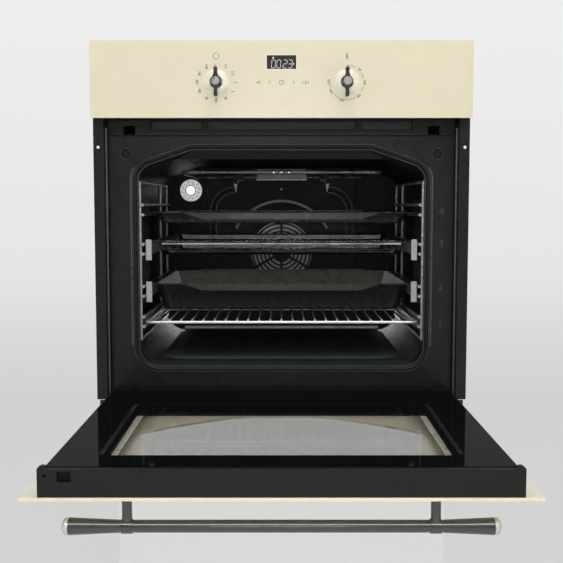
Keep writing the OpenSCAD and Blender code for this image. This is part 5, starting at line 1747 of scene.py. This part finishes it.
@dataclass
class Tray:
    """Pressed tray: flange, sloping walls with turned corners and, where it is of metal, an apron."""

    shop: Workshop
    node: str
    finish: Finish
    thick: float
    depth: float
    wall_half: float
    slope: float
    corner: float
    lip: float = 12.0
    bend: float = 5.0
    apron_half: float = 163.6
    apron_lean: float = 33.0
    apron_h: float = 10.0

    def build(self) -> None:
        """Builds the tray in its node's place."""
        low, high = self.shop.limits(self.node)
        rim = high.z - self.thick
        parts = [self._shell(low, high, rim)]
        if self.finish is TRAY_ENAMEL:
            parts += self._apron(low, high, rim)
        if self.finish is DISH_GLASS:
            parts += self._beads(low, high, rim)
        self.shop.settle(self.shop.join(self.node + "_piece", parts), [self.node])

    def _apron(self, low: Vector, high: Vector, rim: float) -> list[Piece]:
        """Folds the apron under the front flange, a little lighter as painted light, and rolls the rear
        flange's edge, pale as a painted highlight.

        Args:
            low: Lowest corner of the node.
            high: Highest corner of the node.
            rim: Height of the flange's underside.

        Returns:
            The apron and the roll.
        """
        shop, half, foot = self.shop, self.apron_half, self.apron_half - self.apron_lean
        top = rim + 0.5 * self.thick
        outline = rounded([(-foot, rim - self.apron_h), (foot, rim - self.apron_h), (half, top),
                           (-half, top)], [6, 6, 0.5, 0.5], 6)
        roll = [shop.at(x, high.y - self.lip - 1.0, rim + self.thick + 0.1) for x in (-half, 0.0, half)]
        place = shop.facing(0.0, low.y + self.thick, 0.0, -1)
        return [shop.plate("apron", outline, [], place, 0.0, self.thick, APRON_PAINTED_LIGHT),
                shop.wire("rear_roll", roll, 0.9, UP, TRAY_ROLL_HIGHLIGHT, 10)]

    def _beads(self, low: Vector, high: Vector, rim: float) -> list[Piece]:
        """Thickens the glass in beads under the front and rear flange, pale and faintly glowing as painted
        highlights.

        Args:
            low: Lowest corner of the node.
            high: Highest corner of the node.
            rim: Height of the flange's underside.

        Returns:
            The beads.
        """
        half, beads = self.wall_half - self.corner + 10, []
        for y, z, radius, finish in ((low.y + self.lip - 0.2, rim - 2.4, 1.5, DISH_FRONT_HIGHLIGHT),
                                     (high.y - self.lip - 4.4, rim - 0.6, 1.9, DISH_RIM_HIGHLIGHT),
                                     (high.y - self.lip - 4.8, rim - 5.0, 1.7, DISH_RIM_HIGHLIGHT)):
            path = [self.shop.at(x, y, z) for x in (-half, 0.0, half)]
            beads.append(self.shop.wire("bead", path, radius, UP, finish))
        return beads

    def _shell(self, low: Vector, high: Vector, rim: float) -> Piece:
        """Skins the tray from its underside round the flange into its well.

        Args:
            low: Lowest corner of the node.
            high: Highest corner of the node.
            rim: Height of the flange's underside.

        Returns:
            The shell.
        """
        t, middle, half_y = self.thick, (low.y + high.y) / 2, (high.y - low.y) / 2
        well_y = half_y - self.lip

        def ring(half_x: float, along: float, radius: float, z: float) -> list[Vector]:
            """Rounded rectangle at a height."""
            return [self.shop.at(p.x, p.y, z) for p in oblong(half_x, along, radius, 12, (0.0, middle))]

        def wall(inset: float, base: float, top: float) -> list[Point]:
            """Inset and height of the rings down a wall, from the bend at its foot to the turn at the rim.

            Args:
                inset: How far in the wall stands.
                base: Height of its foot.
                top: Height of its rim.

            Returns:
                The insets and heights.
            """
            turn = min(self.bend, (top - base) * 0.45)
            foot = [polar(turn, 22.5 * k) for k in range(5)]
            steps = [(inset + self.slope + 0.7 * (turn - b), base + turn - a) for a, b in foot]
            return steps + [(inset + 0.6, top - 1.8)]

        base = rim + t - self.depth
        rings = [ring(self.wall_half - i, well_y - i, self.corner - i / 2, z)
                 for i, z in wall(0.0, base, rim)]
        rings.append(ring(self.wall_half + 0.6, well_y + 0.6, self.corner, rim - 0.5))
        rings.append(ring(self.wall_half + 2.0, well_y + 2.0, self.corner + 1, rim))
        for inset, lift in ((t / 2, 0.0), (t / 6, t / 6), (0.0, t / 2), (t / 6, 5 * t / 6), (t / 2, t)):
            rings.append(ring(high.x - inset, half_y - inset, 9 - inset, rim + lift))
        rings.append(ring(self.wall_half + 1.6, well_y + 1.6, self.corner + 1, rim + t))
        rings.append(ring(self.wall_half - t + 0.8, well_y - t + 0.8, self.corner - t + 0.6, rim + t - 0.5))
        rings += [ring(self.wall_half - i, well_y - i, self.corner - i / 2, z)
                  for i, z in reversed(wall(t, base + t, rim + t))]
        shell = self.shop.loft("shell", rings, self.finish, sharp=50)
        if self.finish is TRAY_ENAMEL:
            # Painted light: faces inside the well take the lighter enamel, and its side walls take the
            # glowing one.
            self.shop.paint(shell.data, WELL_PAINTED_LIGHT, WELL_SIDE_PAINTED_GLOW)
            depth = (rim - 1.0) * MM
            for face in shell.data.polygons:
                outward = Vector((face.center.x, face.center.y - self.shop.at(0, middle, 0).y, 0.0))
                inward = outward.dot(face.normal)
                if face.center.z < depth and (inward < -1e-4 or face.normal.z > 0.9):
                    face.material_index = 2 if abs(face.normal.x) > 0.7 else 1
        return shell


@dataclass
class WireShelf:
    """Chromed shelf of a wire frame with doubled sides and a row of cross wires."""

    shop: Workshop
    repeater: Repeater
    wires: int = 21
    pitch: float = 18.5
    frame_r: float = 2.5
    wire_r: float = 1.5
    turn_r: float = 12.0
    loop_in: float = 13.0

    def build(self) -> None:
        """Builds the shelf in its node's place."""
        shop = self.shop
        low, high = shop.limits("wire_shelf")
        z, x = low.z + self.frame_r, high.x - self.frame_r
        y0, y1 = low.y + self.frame_r, high.y - self.frame_r
        middle = (y0 + y1) / 2
        rim = [shop.at(p.x, p.y, z) for p in oblong(x, (y1 - y0) / 2, self.turn_r, 10, (0.0, middle))]
        parts = [shop.wire("rim", rim, self.frame_r, UP, CHROME, 16, True)]
        inner = x - self.loop_in
        for side in (-1, 1):
            bow = [shop.at(side * a, y0 + b, z) for a, b in ((x, 36), (inner, 50), (inner, 210), (x, 224))]
            parts.append(shop.wire("loop", bow, self.frame_r, UP, CHROME, 16))
        bar = [shop.at(a, middle + 20, z) for a in (-x, x)]
        parts.append(shop.wire("bar", bar, 2.0, UP, CHROME, 14))
        top = z + self.frame_r + self.wire_r - 0.6
        start = shop.at(-self.pitch * (self.wires - 1) / 2, middle, top)
        parts.append(self.repeater.row("wires", start, Vector((self.pitch * MM, 0, 0)), self.wires,
                                       self.wire_r * MM, (y1 - y0 + 2) * MM, (math.pi / 2, 0.0, 0.0), CHROME))
        shop.settle(shop.join("wire_shelf_piece", parts), ["wire_shelf"])


@dataclass
class Fan:
    """Wheel of blades on a disc, turned round its axis."""

    shop: Workshop
    repeater: Repeater
    node: str
    blades: int
    radius: float
    blade_l: float
    blade_w: float
    lean: float
    upright: bool
    blade_t: float = 0.55
    hub_end: float = 14.0

    def build(self) -> None:
        """Builds the wheel in its node's place."""
        low, high = self.shop.limits(self.node)
        middle = (low + high) / 2

        def place(a: float, b: float, h: float) -> Vector:
            """Gives a place beside the axis.

            Args:
                a: Distance across the axis.
                b: Distance across it, square to the first.
                h: Distance from the disc towards the blades' free ends.

            Returns:
                The place in metres.
            """
            if self.upright:
                return self.shop.at(middle.x + a, middle.y + b, low.z + h)
            return self.shop.at(middle.x + a, low.y + self.hub_end - h, middle.z + b)

        r = self.radius
        if self.upright:
            shaft_end, hub = high.z - low.z, 12.0
            shaft = [(3.0, 11.5), (3.0, shaft_end - 0.4), (2.6, shaft_end), (0.0, shaft_end)]
            profile = [(0.0, 0.0), (r - 0.4, 0.0), (r, 0.3), (r, 0.9), (r - 0.4, 1.2), (9.6, 1.2), (9.0, 2.0),
                       (9.0, hub - 0.6), (8.4, hub)] + shaft
        else:
            front = self.hub_end
            back = front - (high.y - low.y)
            profile = [(0.0, back), (3.6, back), (4.0, back + 0.4), (4.0, -0.2), (r - 0.4, 0.0), (r, 0.3),
                       (r, 0.9), (r - 0.4, 1.2), (10.6, 1.2), (10.0, 2.0), (10.0, 11.4), (9.4, 12.0),
                       (4.0, 12.2), (4.0, 13.6), (3.6, front), (0.0, front)]
        disc = self.shop.lathe("disc", profile, place, MOTOR_STEEL, 64)
        w, l, t = self.blade_w / 2 * MM, self.blade_l / 2 * MM, self.blade_t * MM
        bow = 0.18 * self.blade_w * MM
        points, faces = [], []
        for k in range(7):
            u = -w + 2 * w * k / 6
            lift = bow * (1 - (u / w) ** 2)
            for v, s in ((-l, -t), (l, -t), (l, t), (-l, t)):
                points.append(Vector((u, lift + s, v)))
        for k in range(6):
            for m in range(4):
                n = (m + 1) % 4
                faces.append([4 * k + m, 4 * k + n, 4 * k + 4 + n, 4 * k + 4 + m])
        faces += [[0, 1, 2, 3], [27, 26, 25, 24]]
        blade = self.shop.mesh("blade", points, faces, MOTOR_STEEL)
        seats, turns = [], []
        reach = r - self.blade_w * 0.56
        for k in range(self.blades):
            angle = 2 * math.pi * k / self.blades
            seats.append(place(reach * math.cos(angle), reach * math.sin(angle), 1.0 + self.blade_l / 2))
            turn = Matrix.Rotation(angle + math.radians(self.lean), 3, "Z")
            if not self.upright:
                turn = Matrix.Rotation(math.pi / 2, 3, "X") @ turn
            turns.append(turn.to_euler())
        ring = self.repeater.scatter("blades", blade, seats, turns, [1.0] * self.blades, MOTOR_STEEL)
        self.shop.settle(self.shop.join(self.node + "_piece", [disc, ring]), [self.node])


@dataclass
class Door:
    """Drop-down door of three panes in a black frame, its prints faded out in dots."""

    shop: Workshop
    repeater: Repeater
    front_half: float = 297.5
    glass_low: float = 4.0
    glass_high: float = 473.0
    glass_t: float = 4.0
    inner_y: float = 34.0
    inner_low: float = 31.0
    inner_high: float = 466.2
    hinge_drop: float = 9.0
    middle_print: Point = (60.0, 421.0)
    middle_print_x: Point = (204.0, 224.0)
    inner_half: float = 267.0
    window_half: float = 205.0
    bow_low: float = 62.0
    bow_corner: float = 171.0
    flat_half: float = 52.0
    top_corner: float = 330.0
    top_middle: float = 398.0
    inner_window_half: Point = (205.0, 203.8)
    inner_window: Point = (196.5, 418.0)
    dot_pitch: float = 3.4
    dot_row: float = 0.866
    dot_r: Point = (1.65, 1.25)
    speck_lead: float = 58.0
    speck_row: float = 3.6
    speck_pitch: float = 3.1
    speck_in: float = 8.0

    def face(self, a: float, b: float, h: float) -> Vector:
        """Place on the door at the depth h behind its outer face."""
        return self.shop.on_door(a, h, b)

    def build(self) -> None:
        """Builds the panes, their prints and the frame."""
        shop = self.shop
        window = self._bowed_window()
        outline = oblong(self.front_half, (self.glass_high - self.glass_low) / 2, 1.5, 4,
                         (0.0, (self.glass_high + self.glass_low) / 2))
        outer = shop.plate("door_outer_print", outline, [window], self.face, 0.0, self.glass_t, IVORY_GLASS)
        shop.settle(shop.eased(outer, 0.5, 60), ["door_outer_glass"])
        low, high = self.inner_window
        wide, narrow = self.inner_window_half
        hole = rounded([(-wide, low), (wide, low), (narrow, high), (-narrow, high)], [3] * 4, 4)
        edge = oblong(self.inner_half, (self.inner_high - self.inner_low) / 2, 2, 4,
                      (0.0, (self.inner_high + self.inner_low) / 2))
        front, back = self.inner_y, self.inner_y + self.glass_t
        inner = shop.plate("door_inner_print", edge, [hole], self.face, front, back, BLACK_GLASS)
        shop.settle(shop.eased(inner, 0.5, 60), ["door_inner_glass"])
        for name, pane, start, end in (("door_outer_window", window, 0.0, self.glass_t),
                                       ("door_inner_window", hole, front, back)):
            piece = shop.plate(name, pane, [], self.face, start + 0.15, end - 0.15, CLEAR_GLASS)
            shop.settle(piece, body="door")
        for piece in (self._outer_dots(), self._inner_dots(back), self._middle_print()):
            shop.settle(piece, body="door")
        shop.refine(CLEAR_GLASS, 0.3, "door_middle_glass")
        shop.refine(DOOR_ENAMEL, 0.8, "door_frame")
        shop.refine(BLACK_PLASTIC, 0.6, "door_top_trim")
        shop.refine(HINGE_STEEL, 0.3, "hinge_cartridges")
        shop.refine(ZINC, 0.3, "hinge_pins", "hinge_arms", "hinge_receivers")

    def _middle_print(self) -> Piece:
        """Prints the middle pane's side borders, which hide the hinges from inside, in ivory darkened as
        painted shade.

        Returns:
            The print.
        """
        top = self.shop.limits("door_middle_glass")[1].z - self.hinge_drop
        low, high = self.middle_print
        inner, outer = self.middle_print_x
        parts = []
        for side in (-1, 1):
            strip = oblong((outer - inner) / 2, (high - low) / 2, 1.0, 4,
                           (side * (inner + outer) / 2, (low + high) / 2))
            parts.append(self.shop.plate("strip", strip, [], self.face, top + 0.02, top + 0.1, MIDDLE_PRINT_PAINTED_SHADE))
        return self.shop.join("door_middle_print", parts)

    def _bowed_window(self) -> list[Point]:
        """Outline of the outer pane's clear window, its ends bowed towards the corners.

        Returns:
            Its points in millimetres.
        """
        half, flat, wide = self.window_half - 6, self.flat_half, self.window_half
        rise = self.bow_corner - 8 - self.bow_low
        fall = self.top_middle - self.top_corner
        spread = [-half + 2 * half * k / 28 for k in range(29)]
        bend = [max(0.0, (abs(x) - flat) / (half - flat)) for x in spread]
        arc = [polar(1.0, 18 * k) for k in range(1, 5)]
        turn = [(half + 6 * b, self.bow_corner + 4 - 10.8 * a) for a, b in arc]
        side = [(wide, self.bow_corner + 8), (wide, self.top_corner - 12)]
        rim = [(x, self.bow_low + rise * f ** 1.35) for x, f in zip(spread, bend)] + turn + side
        rim += [(-x, self.top_middle - fall * f ** 1.5) for x, f in zip(spread, bend)]
        return rim + [(-x, z) for x, z in reversed(turn + side)]

    def _dots(self, name: str, spots: Sequence[tuple[float, float, float]], depth: float,
              finish: Finish) -> Piece:
        """Repeats a thin round dot over a pane.

        Args:
            name: Name of the piece.
            spots: Place and radius of each dot.
            depth: Depth of the dots behind the door's outer face.
            finish: Their finish.

        Returns:
            The dots.
        """
        disc = self.shop.loft("dot", [[Vector((p[0] * MM, p[1] * MM, h * MM)) for p in round_section(1.0, 10)]
                                      for h in (0.0, 0.06)], finish)
        seats = [self.face(x, z, depth) for x, z, _ in spots]
        return self.repeater.scatter(name, disc, seats, [Euler((0.0, 0.0, 0.0))] * len(spots),
                                     [r for _, _, r in spots], finish)

    def _outer_dots(self) -> Piece:
        """Fades the ivory print into the clear window at its sides.

        Returns:
            The dots.
        """
        spots, (largest, loss) = [], self.dot_r
        rows = int((self.top_corner - self.bow_corner) / (self.dot_pitch * self.dot_row))
        for row in range(rows):
            z = self.bow_corner + 2 + row * self.dot_pitch * self.dot_row
            fade = 6 + 34 * min(1.0, row / (0.62 * rows))
            for k in range(int(fade / self.dot_pitch) + 1):
                inset = 1.2 + (k + 0.5 * (row % 2)) * self.dot_pitch
                if inset < fade:
                    radius = largest - loss * inset / fade
                    spots += [(side * (self.window_half - inset), z, radius) for side in (-1, 1)]
        return self._dots("door_window_fade", spots, self.glass_t - 0.1, IVORY_GLASS)

    def _inner_dots(self, back: float) -> Piece:
        """Opens the black print beside the inner window in fine pale dots.

        Args:
            back: How far back the inner pane ends.

        Returns:
            The dots.
        """
        spots = []
        low, high = self.inner_window
        wide, narrow = self.inner_window_half
        low -= self.speck_lead
        for row in range(int((high - low) / self.speck_row)):
            z = low + self.speck_row * row
            edge = wide + (narrow - wide) * (z - low) / (high - low)
            for k in range(4):
                inset = self.speck_in + self.speck_pitch * (k + 0.5 * (row % 2))
                spots += [(side * (edge + inset), z, 0.62 - 0.08 * k) for side in (-1, 1)]
        return self._dots("door_inner_fade", spots, back - 0.03, DOT_PALE)


@dataclass
class Handle:
    """Round bar with flared ends and domed caps on two posts."""

    shop: Workshop
    bar_z: float = 438.0
    stand: float = 41.0
    bar_r: float = 7.5
    cone_r: float = 10.25
    cone_start: float = 187.0
    cone_end: float = 248.0
    post_x: float = 180.0
    post_r: float = 6.0
    collar_r: float = 8.75
    cap_h: float = 8.5
    dome_h: float = 5.5

    def across(self, a: float, b: float, h: float) -> Vector:
        """Place beside the bar's axis, h millimetres along it."""
        return self.shop.on_door(h, -self.stand + a, self.bar_z + b)

    def build(self) -> None:
        """Builds the bar, posts, caps and screws."""
        shop, r, end, z = self.shop, self.bar_r, self.cone_end, self.bar_z
        profile = [(0, -end), (self.cone_r - 0.5, -end), (self.cone_r, -end + 0.6),
                   (r + 0.02, -self.cone_start), (r, -self.cone_start + 3), (r, self.cone_start - 3),
                   (r + 0.02, self.cone_start), (self.cone_r, end - 0.6), (self.cone_r - 0.5, end), (0, end)]
        shop.settle(shop.lathe("handle_bar_piece", profile, self.across, HANDLE_METAL), ["handle_bar"])
        posts, caps = [], []
        c, foot, post, cap = self.collar_r, self.post_r + 2.2, self.post_r, self.cone_r - 0.1
        stem = [(0, 0.3), (foot - 0.3, 0.3), (foot, 0.6), (foot, 1.5), (foot - 0.3, 1.8), (post + 0.5, 1.9),
                (post, 2.6), (post, self.stand), (0, self.stand)]
        low, high = end + 0.1, end + 0.1 + self.cap_h
        dome = [(cap * a, high - self.dome_h * (1 - b)) for a, b in (polar(1.0, 9 * k) for k in range(10))]
        cap_profile = [(0, low), (cap - 0.2, low), (cap, low + 0.4), (cap, high - self.dome_h - 0.3), *dome,
                       (0, high)]
        for side in (-1, 1):
            x = side * self.post_x
            collar = [(r - 0.2, x - 7), (c - 0.6, x - 7), (c, x - 6.4), (c, x + 6.1), (c - 0.6, x + 6.7),
                      (r - 0.2, x + 6.7)]
            posts.append(shop.lathe("collar", collar, self.across, HANDLE_METAL))
            posts.append(shop.lathe("post", stem, lambda a, b, h, x=x: shop.on_door(x + a, -h, z + b),
                                    HANDLE_METAL, 48))
            turned = [(a, side * b) for a, b in cap_profile]
            caps.append(shop.lathe("cap", turned, self.across, CAP_METAL, 64))
        shop.settle(shop.join("handle_posts_piece", posts), ["handle_posts"])
        shop.settle(shop.join("handle_end_caps_piece", caps), ["handle_end_caps"])
        shop.refine(ZINC, 0.3, "handle_screws")


@dataclass
class Casing:
    """Zinc-plated casing with its screws, cooling duct, motor and terminal box."""

    shop: Workshop
    repeater: Repeater
    half: float = 278.0
    back: float = 567.5
    top: float = 589.0
    screw_r: float = 3.6

    def build(self) -> None:
        """Builds the casing and what stands behind the cavity."""
        shop = self.shop
        shop.refine(ZINC, 0.2, "casing_sides", "casing_top", "casing_back", "base_plate")
        shop.refine(ZINC, 0.4, "blower_housing")
        shop.refine(MOTOR_STEEL, 0.5, "blower_motor")
        shop.refine(WHITE_PLASTIC, 0.5, "terminal_box")
        shop.settle(self._screws())

    def _screws(self) -> Piece:
        """Sets sheet screws with round collared heads along the casing's edges.

        Returns:
            The screws.
        """
        rings = [[Vector((a, b, height)) for a, b in round_section(radius * self.screw_r * MM, 18)]
                 for radius, height in ((1.35, -0.0002), (1.35, 0.0004), (1.25, 0.0006), (0.95, 0.0007),
                                        (0.95, 0.0022), (0.82, 0.0026))]
        head = self.shop.loft("screw", rings, RUNNER_STEEL)
        quarter = math.pi / 2
        sets = [((0.0, side * quarter, 0.0), (side * self.half,), (70.0, 305.0, 545.0), (18.0, 300.0, 574.0))
                for side in (-1, 1)]
        sets += [((-quarter, 0.0, 0.0), (-262.0, -130.0, 0.0, 130.0, 262.0), (self.back,), (16.0, 576.0)),
                 ((-quarter, 0.0, 0.0), (-262.0, 262.0), (self.back,), (200.0, 390.0)),
                 ((0.0, 0.0, 0.0), (-250.0, 0.0, 250.0), (60.0, 300.0, 550.0), (self.top,))]
        seats, turns = [], []
        for turn, *places in sets:
            for place in product(*places):
                seats.append(self.shop.at(*place))
                turns.append(Euler(turn))
        return self.repeater.scatter("casing_screws", head, seats, turns, [1.0] * len(seats), RUNNER_STEEL)


@dataclass
class Studio:
    """Camera, soft lights, pale floor and the plinth that the oven stands on."""

    shop: Workshop
    focal_px: float = 935.0
    image_px: float = 563.0
    tilt: float = 4.77
    camera_y: float = -1470.0
    camera_z: float = 343.4
    floor_z: float = -420.0
    plinth_half: float = 270.0
    glint_x: float = 213.0
    glint_y: float = 440.0
    glint_z: float = 103.0
    white_share: float = 0.86
    shades: tuple[float, float, float] = (0.69, 0.86, 0.94)

    def build(self) -> None:
        """Sets the camera, the lights and the stage."""
        self._camera()
        self._world()
        self._light("key_light", (0.1, -1.0, 2.3), (0.0, -0.4, 0.2), 1.5, 29.0)
        self._light("left_light", (-2.1, -1.8, 0.8), (0.0, -0.2, 0.3), 1.2, 7.0)
        self._light("right_light", (2.1, -1.8, 0.8), (0.0, -0.2, 0.3), 1.2, 8.0)
        self._light("gloss_light", (0.0, -2.6, 0.35), (0.0, 0.0, 0.25), 0.45, 2.0)
        strip = self._light("strip_light", (0.0, -2.2, 1.5), (0.0, -0.7, -0.05), 2.4, 20.0)
        strip.data.shape = "RECTANGLE"
        strip.data.size_y = 0.2
        strip.visible_diffuse = False
        over, on = self.shop.on_door(0.0, 33.2, 230.0), self.shop.on_door(0.0, 0.0, 230.0)
        for light in (self._light("fill_light", (0.0, -2.6, 0.4), (0.0, 0.0, 0.3), 0.8, 18.5),
                      self._light("door_light", over, on, 0.44, 0.8)):
            light.visible_glossy = False
        for side in (-1, 1):
            place, target = (self.shop.at(side * self.glint_x, y, self.glint_z) for y in (self.glint_y, 0.0))
            self._light("glint_light", place, target, 0.03, 0.005).visible_diffuse = False
        self._stage()

    def _camera(self) -> None:
        """Places the camera where the photograph was taken from."""
        data = bpy.data.cameras.new("camera")
        data.sensor_width = 36.0
        data.lens = self.focal_px / self.image_px * data.sensor_width
        camera = placed("camera", data)
        camera.location = self.shop.at(0.0, self.camera_y, self.camera_z)
        camera.rotation_euler = (math.radians(90.0 - self.tilt), 0.0, 0.0)
        bpy.context.scene.camera = camera

    def _world(self) -> None:
        """Lights the scene evenly and leaves the view transform plain."""
        world = bpy.data.worlds.new("studio_world")
        world.use_nodes = True
        background = world.node_tree.nodes["Background"].inputs
        background["Color"].default_value = (1.0, 1.0, 1.0, 1.0)
        background["Strength"].default_value = 0.2
        bpy.context.scene.world = world
        bpy.context.scene.view_settings.view_transform = "Standard"

    def _light(self, name: str, place: Sequence[float], target: Sequence[float], size: float,
               power: float) -> Piece:
        """Hangs a soft light that the camera doesn't see.

        Args:
            name: Its name.
            place: Where it hangs, in metres.
            target: What it faces.
            size: Its width in metres.
            power: Its power in watts.

        Returns:
            The light.
        """
        data = bpy.data.lights.new(name, "AREA")
        data.shape = "SQUARE"
        data.size = size
        data.energy = power
        light = placed(name, data)
        light.location = place
        light.rotation_euler = (Vector(target) - Vector(place)).to_track_quat("-Z", "Y").to_euler()
        light.visible_camera = False
        return light

    def _pale(self, name: str, shades: Sequence[float]) -> bpy.types.Material:
        """Makes a pale finish that the camera and reflections see near white.

        Args:
            name: Its name.
            shades: How pale it is at the floor, at the oven's base and high up, darker low down as painted
                shade.

        Returns:
            The material.
        """
        mat = bpy.data.materials.new(name)
        mat.use_nodes = True
        mat.node_tree.nodes.clear()
        nodes = Wiring(mat.node_tree)
        split = nodes.add("ShaderNodeSeparateXYZ")
        nodes.link((nodes.add("ShaderNodeTexCoord").outputs["Object"], split.inputs["Vector"]))
        # Painted shade: the stage grows darker from high up down to the floor.
        level = nodes.ranged(split.outputs["Z"], (self.floor_z * MM, 1.3))
        ramp = nodes.add("ShaderNodeValToRGB")
        ramp.color_ramp.elements.new(0.25)
        for element, shade in zip(ramp.color_ramp.elements, shades):
            element.color = (shade, shade, 0.995 * shade, 1.0)
        rays = nodes.add("ShaderNodeLightPath").outputs
        seen = rays["Is Camera Ray"]
        for other in ("Is Glossy Ray", "Is Transmission Ray"):
            larger = nodes.add("ShaderNodeMath", operation="MAXIMUM")
            nodes.link((seen, larger.inputs[0]), (rays[other], larger.inputs[1]))
            seen = larger.outputs["Value"]
        part = nodes.add("ShaderNodeMath", {1: self.white_share}, operation="MULTIPLY")
        matt = nodes.add("ShaderNodeBsdfDiffuse", {"Color": (0.82, 0.82, 0.81, 1.0)})
        white = nodes.add("ShaderNodeEmission")
        mix = nodes.add("ShaderNodeMixShader")
        out = nodes.add("ShaderNodeOutputMaterial")
        nodes.link((level, ramp.inputs["Fac"]), (ramp.outputs["Color"], white.inputs["Color"]),
                   (seen, part.inputs[0]), (part.outputs["Value"], mix.inputs["Fac"]),
                   (matt.outputs["BSDF"], mix.inputs[1]), (white.outputs["Emission"], mix.inputs[2]),
                   (mix.outputs["Shader"], out.inputs["Surface"]))
        return mat

    def _stage(self) -> None:
        """Lays the floor that curves up into the backdrop, and the plinth under the oven's base."""
        steps, bend, rear = 16, 1.3, 3.0
        rows = [(-6.0, self.floor_z * MM)]
        for k in range(steps + 1):
            t = math.pi / 2 * k / steps
            rows.append((rear - bend + bend * math.sin(t), self.floor_z * MM + bend * (1 - math.cos(t))))
        rows.append((rear, 7.0))
        points = [Vector((x, y, z)) for y, z in rows for x in (-8.0, 8.0)]
        faces = [[2 * k, 2 * k + 1, 2 * k + 3, 2 * k + 2] for k in range(len(rows) - 1)]
        self._staged("studio_floor", points, faces, self.shades)
        low, high = self.shop.limits("base_plate")
        half, front, back = self.plinth_half, low.y + 3, high.y - 3
        points = [self.shop.at(x, y, z) for z in (self.floor_z, -0.2)
                  for x, y in ((-half, front), (half, front), (half, back), (-half, back))]
        faces = [[3, 2, 1, 0], [4, 5, 6, 7], [0, 1, 5, 4], [1, 2, 6, 5], [2, 3, 7, 6], [3, 0, 4, 7]]
        self._staged("studio_plinth", points, faces, [self.shades[0]] * 3)

    def _staged(self, name: str, points: Sequence[Vector], faces: Sequence[Sequence[int]],
                shades: Sequence[float]) -> None:
        """Makes a piece of the stage, its shades given at the floor, at the oven's base and high up.

        Args:
            name: Its name.
            points: Its corners.
            faces: Which corners each face takes.
            shades: How pale it is at the floor, at the base and high up.
        """
        data = bpy.data.meshes.new(name)
        data.from_pydata([tuple(p) for p in points], [], faces)
        data.materials.append(self._pale(name, shades))
        smoothed(data, 30)
        placed(name, data)


def main() -> None:
    """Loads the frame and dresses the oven."""
    logging.basicConfig(level=logging.INFO, format="%(message)s")
    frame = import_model()
    shop = Workshop(frame)
    repeater = Repeater(shop)
    Studio(shop).build()
    ControlPanel(shop).build()
    RotaryKnob(shop, "function", -101.3).build()
    RotaryKnob(shop, "temperature", 101.3).build()
    FrontFrame(shop).build()
    Cavity(shop).build()
    Tray(shop, "shallow_tray", TRAY_ENAMEL, 1.2, 18.0, 210.2, 7.0, 20.0).build()
    Tray(shop, "glass_tray", DISH_GLASS, 4.0, 25.0, 211.8, 8.0, 24.0, bend=9.0).build()
    Tray(shop, "deep_pan", TRAY_ENAMEL, 1.4, 46.0, 211.8, 12.0, 24.0, bend=9.0).build()
    WireShelf(shop, repeater).build()
    Fan(shop, repeater, "fan_wheel", 20, 62.0, 12.0, 20.0, 35.0, False).build()
    Fan(shop, repeater, "blower_rotor", 24, 58.0, 20.0, 15.0, 40.0, True).build()
    Door(shop, repeater).build()
    Handle(shop).build()
    Casing(shop, repeater).build()


if __name__ == "__main__":
    main()
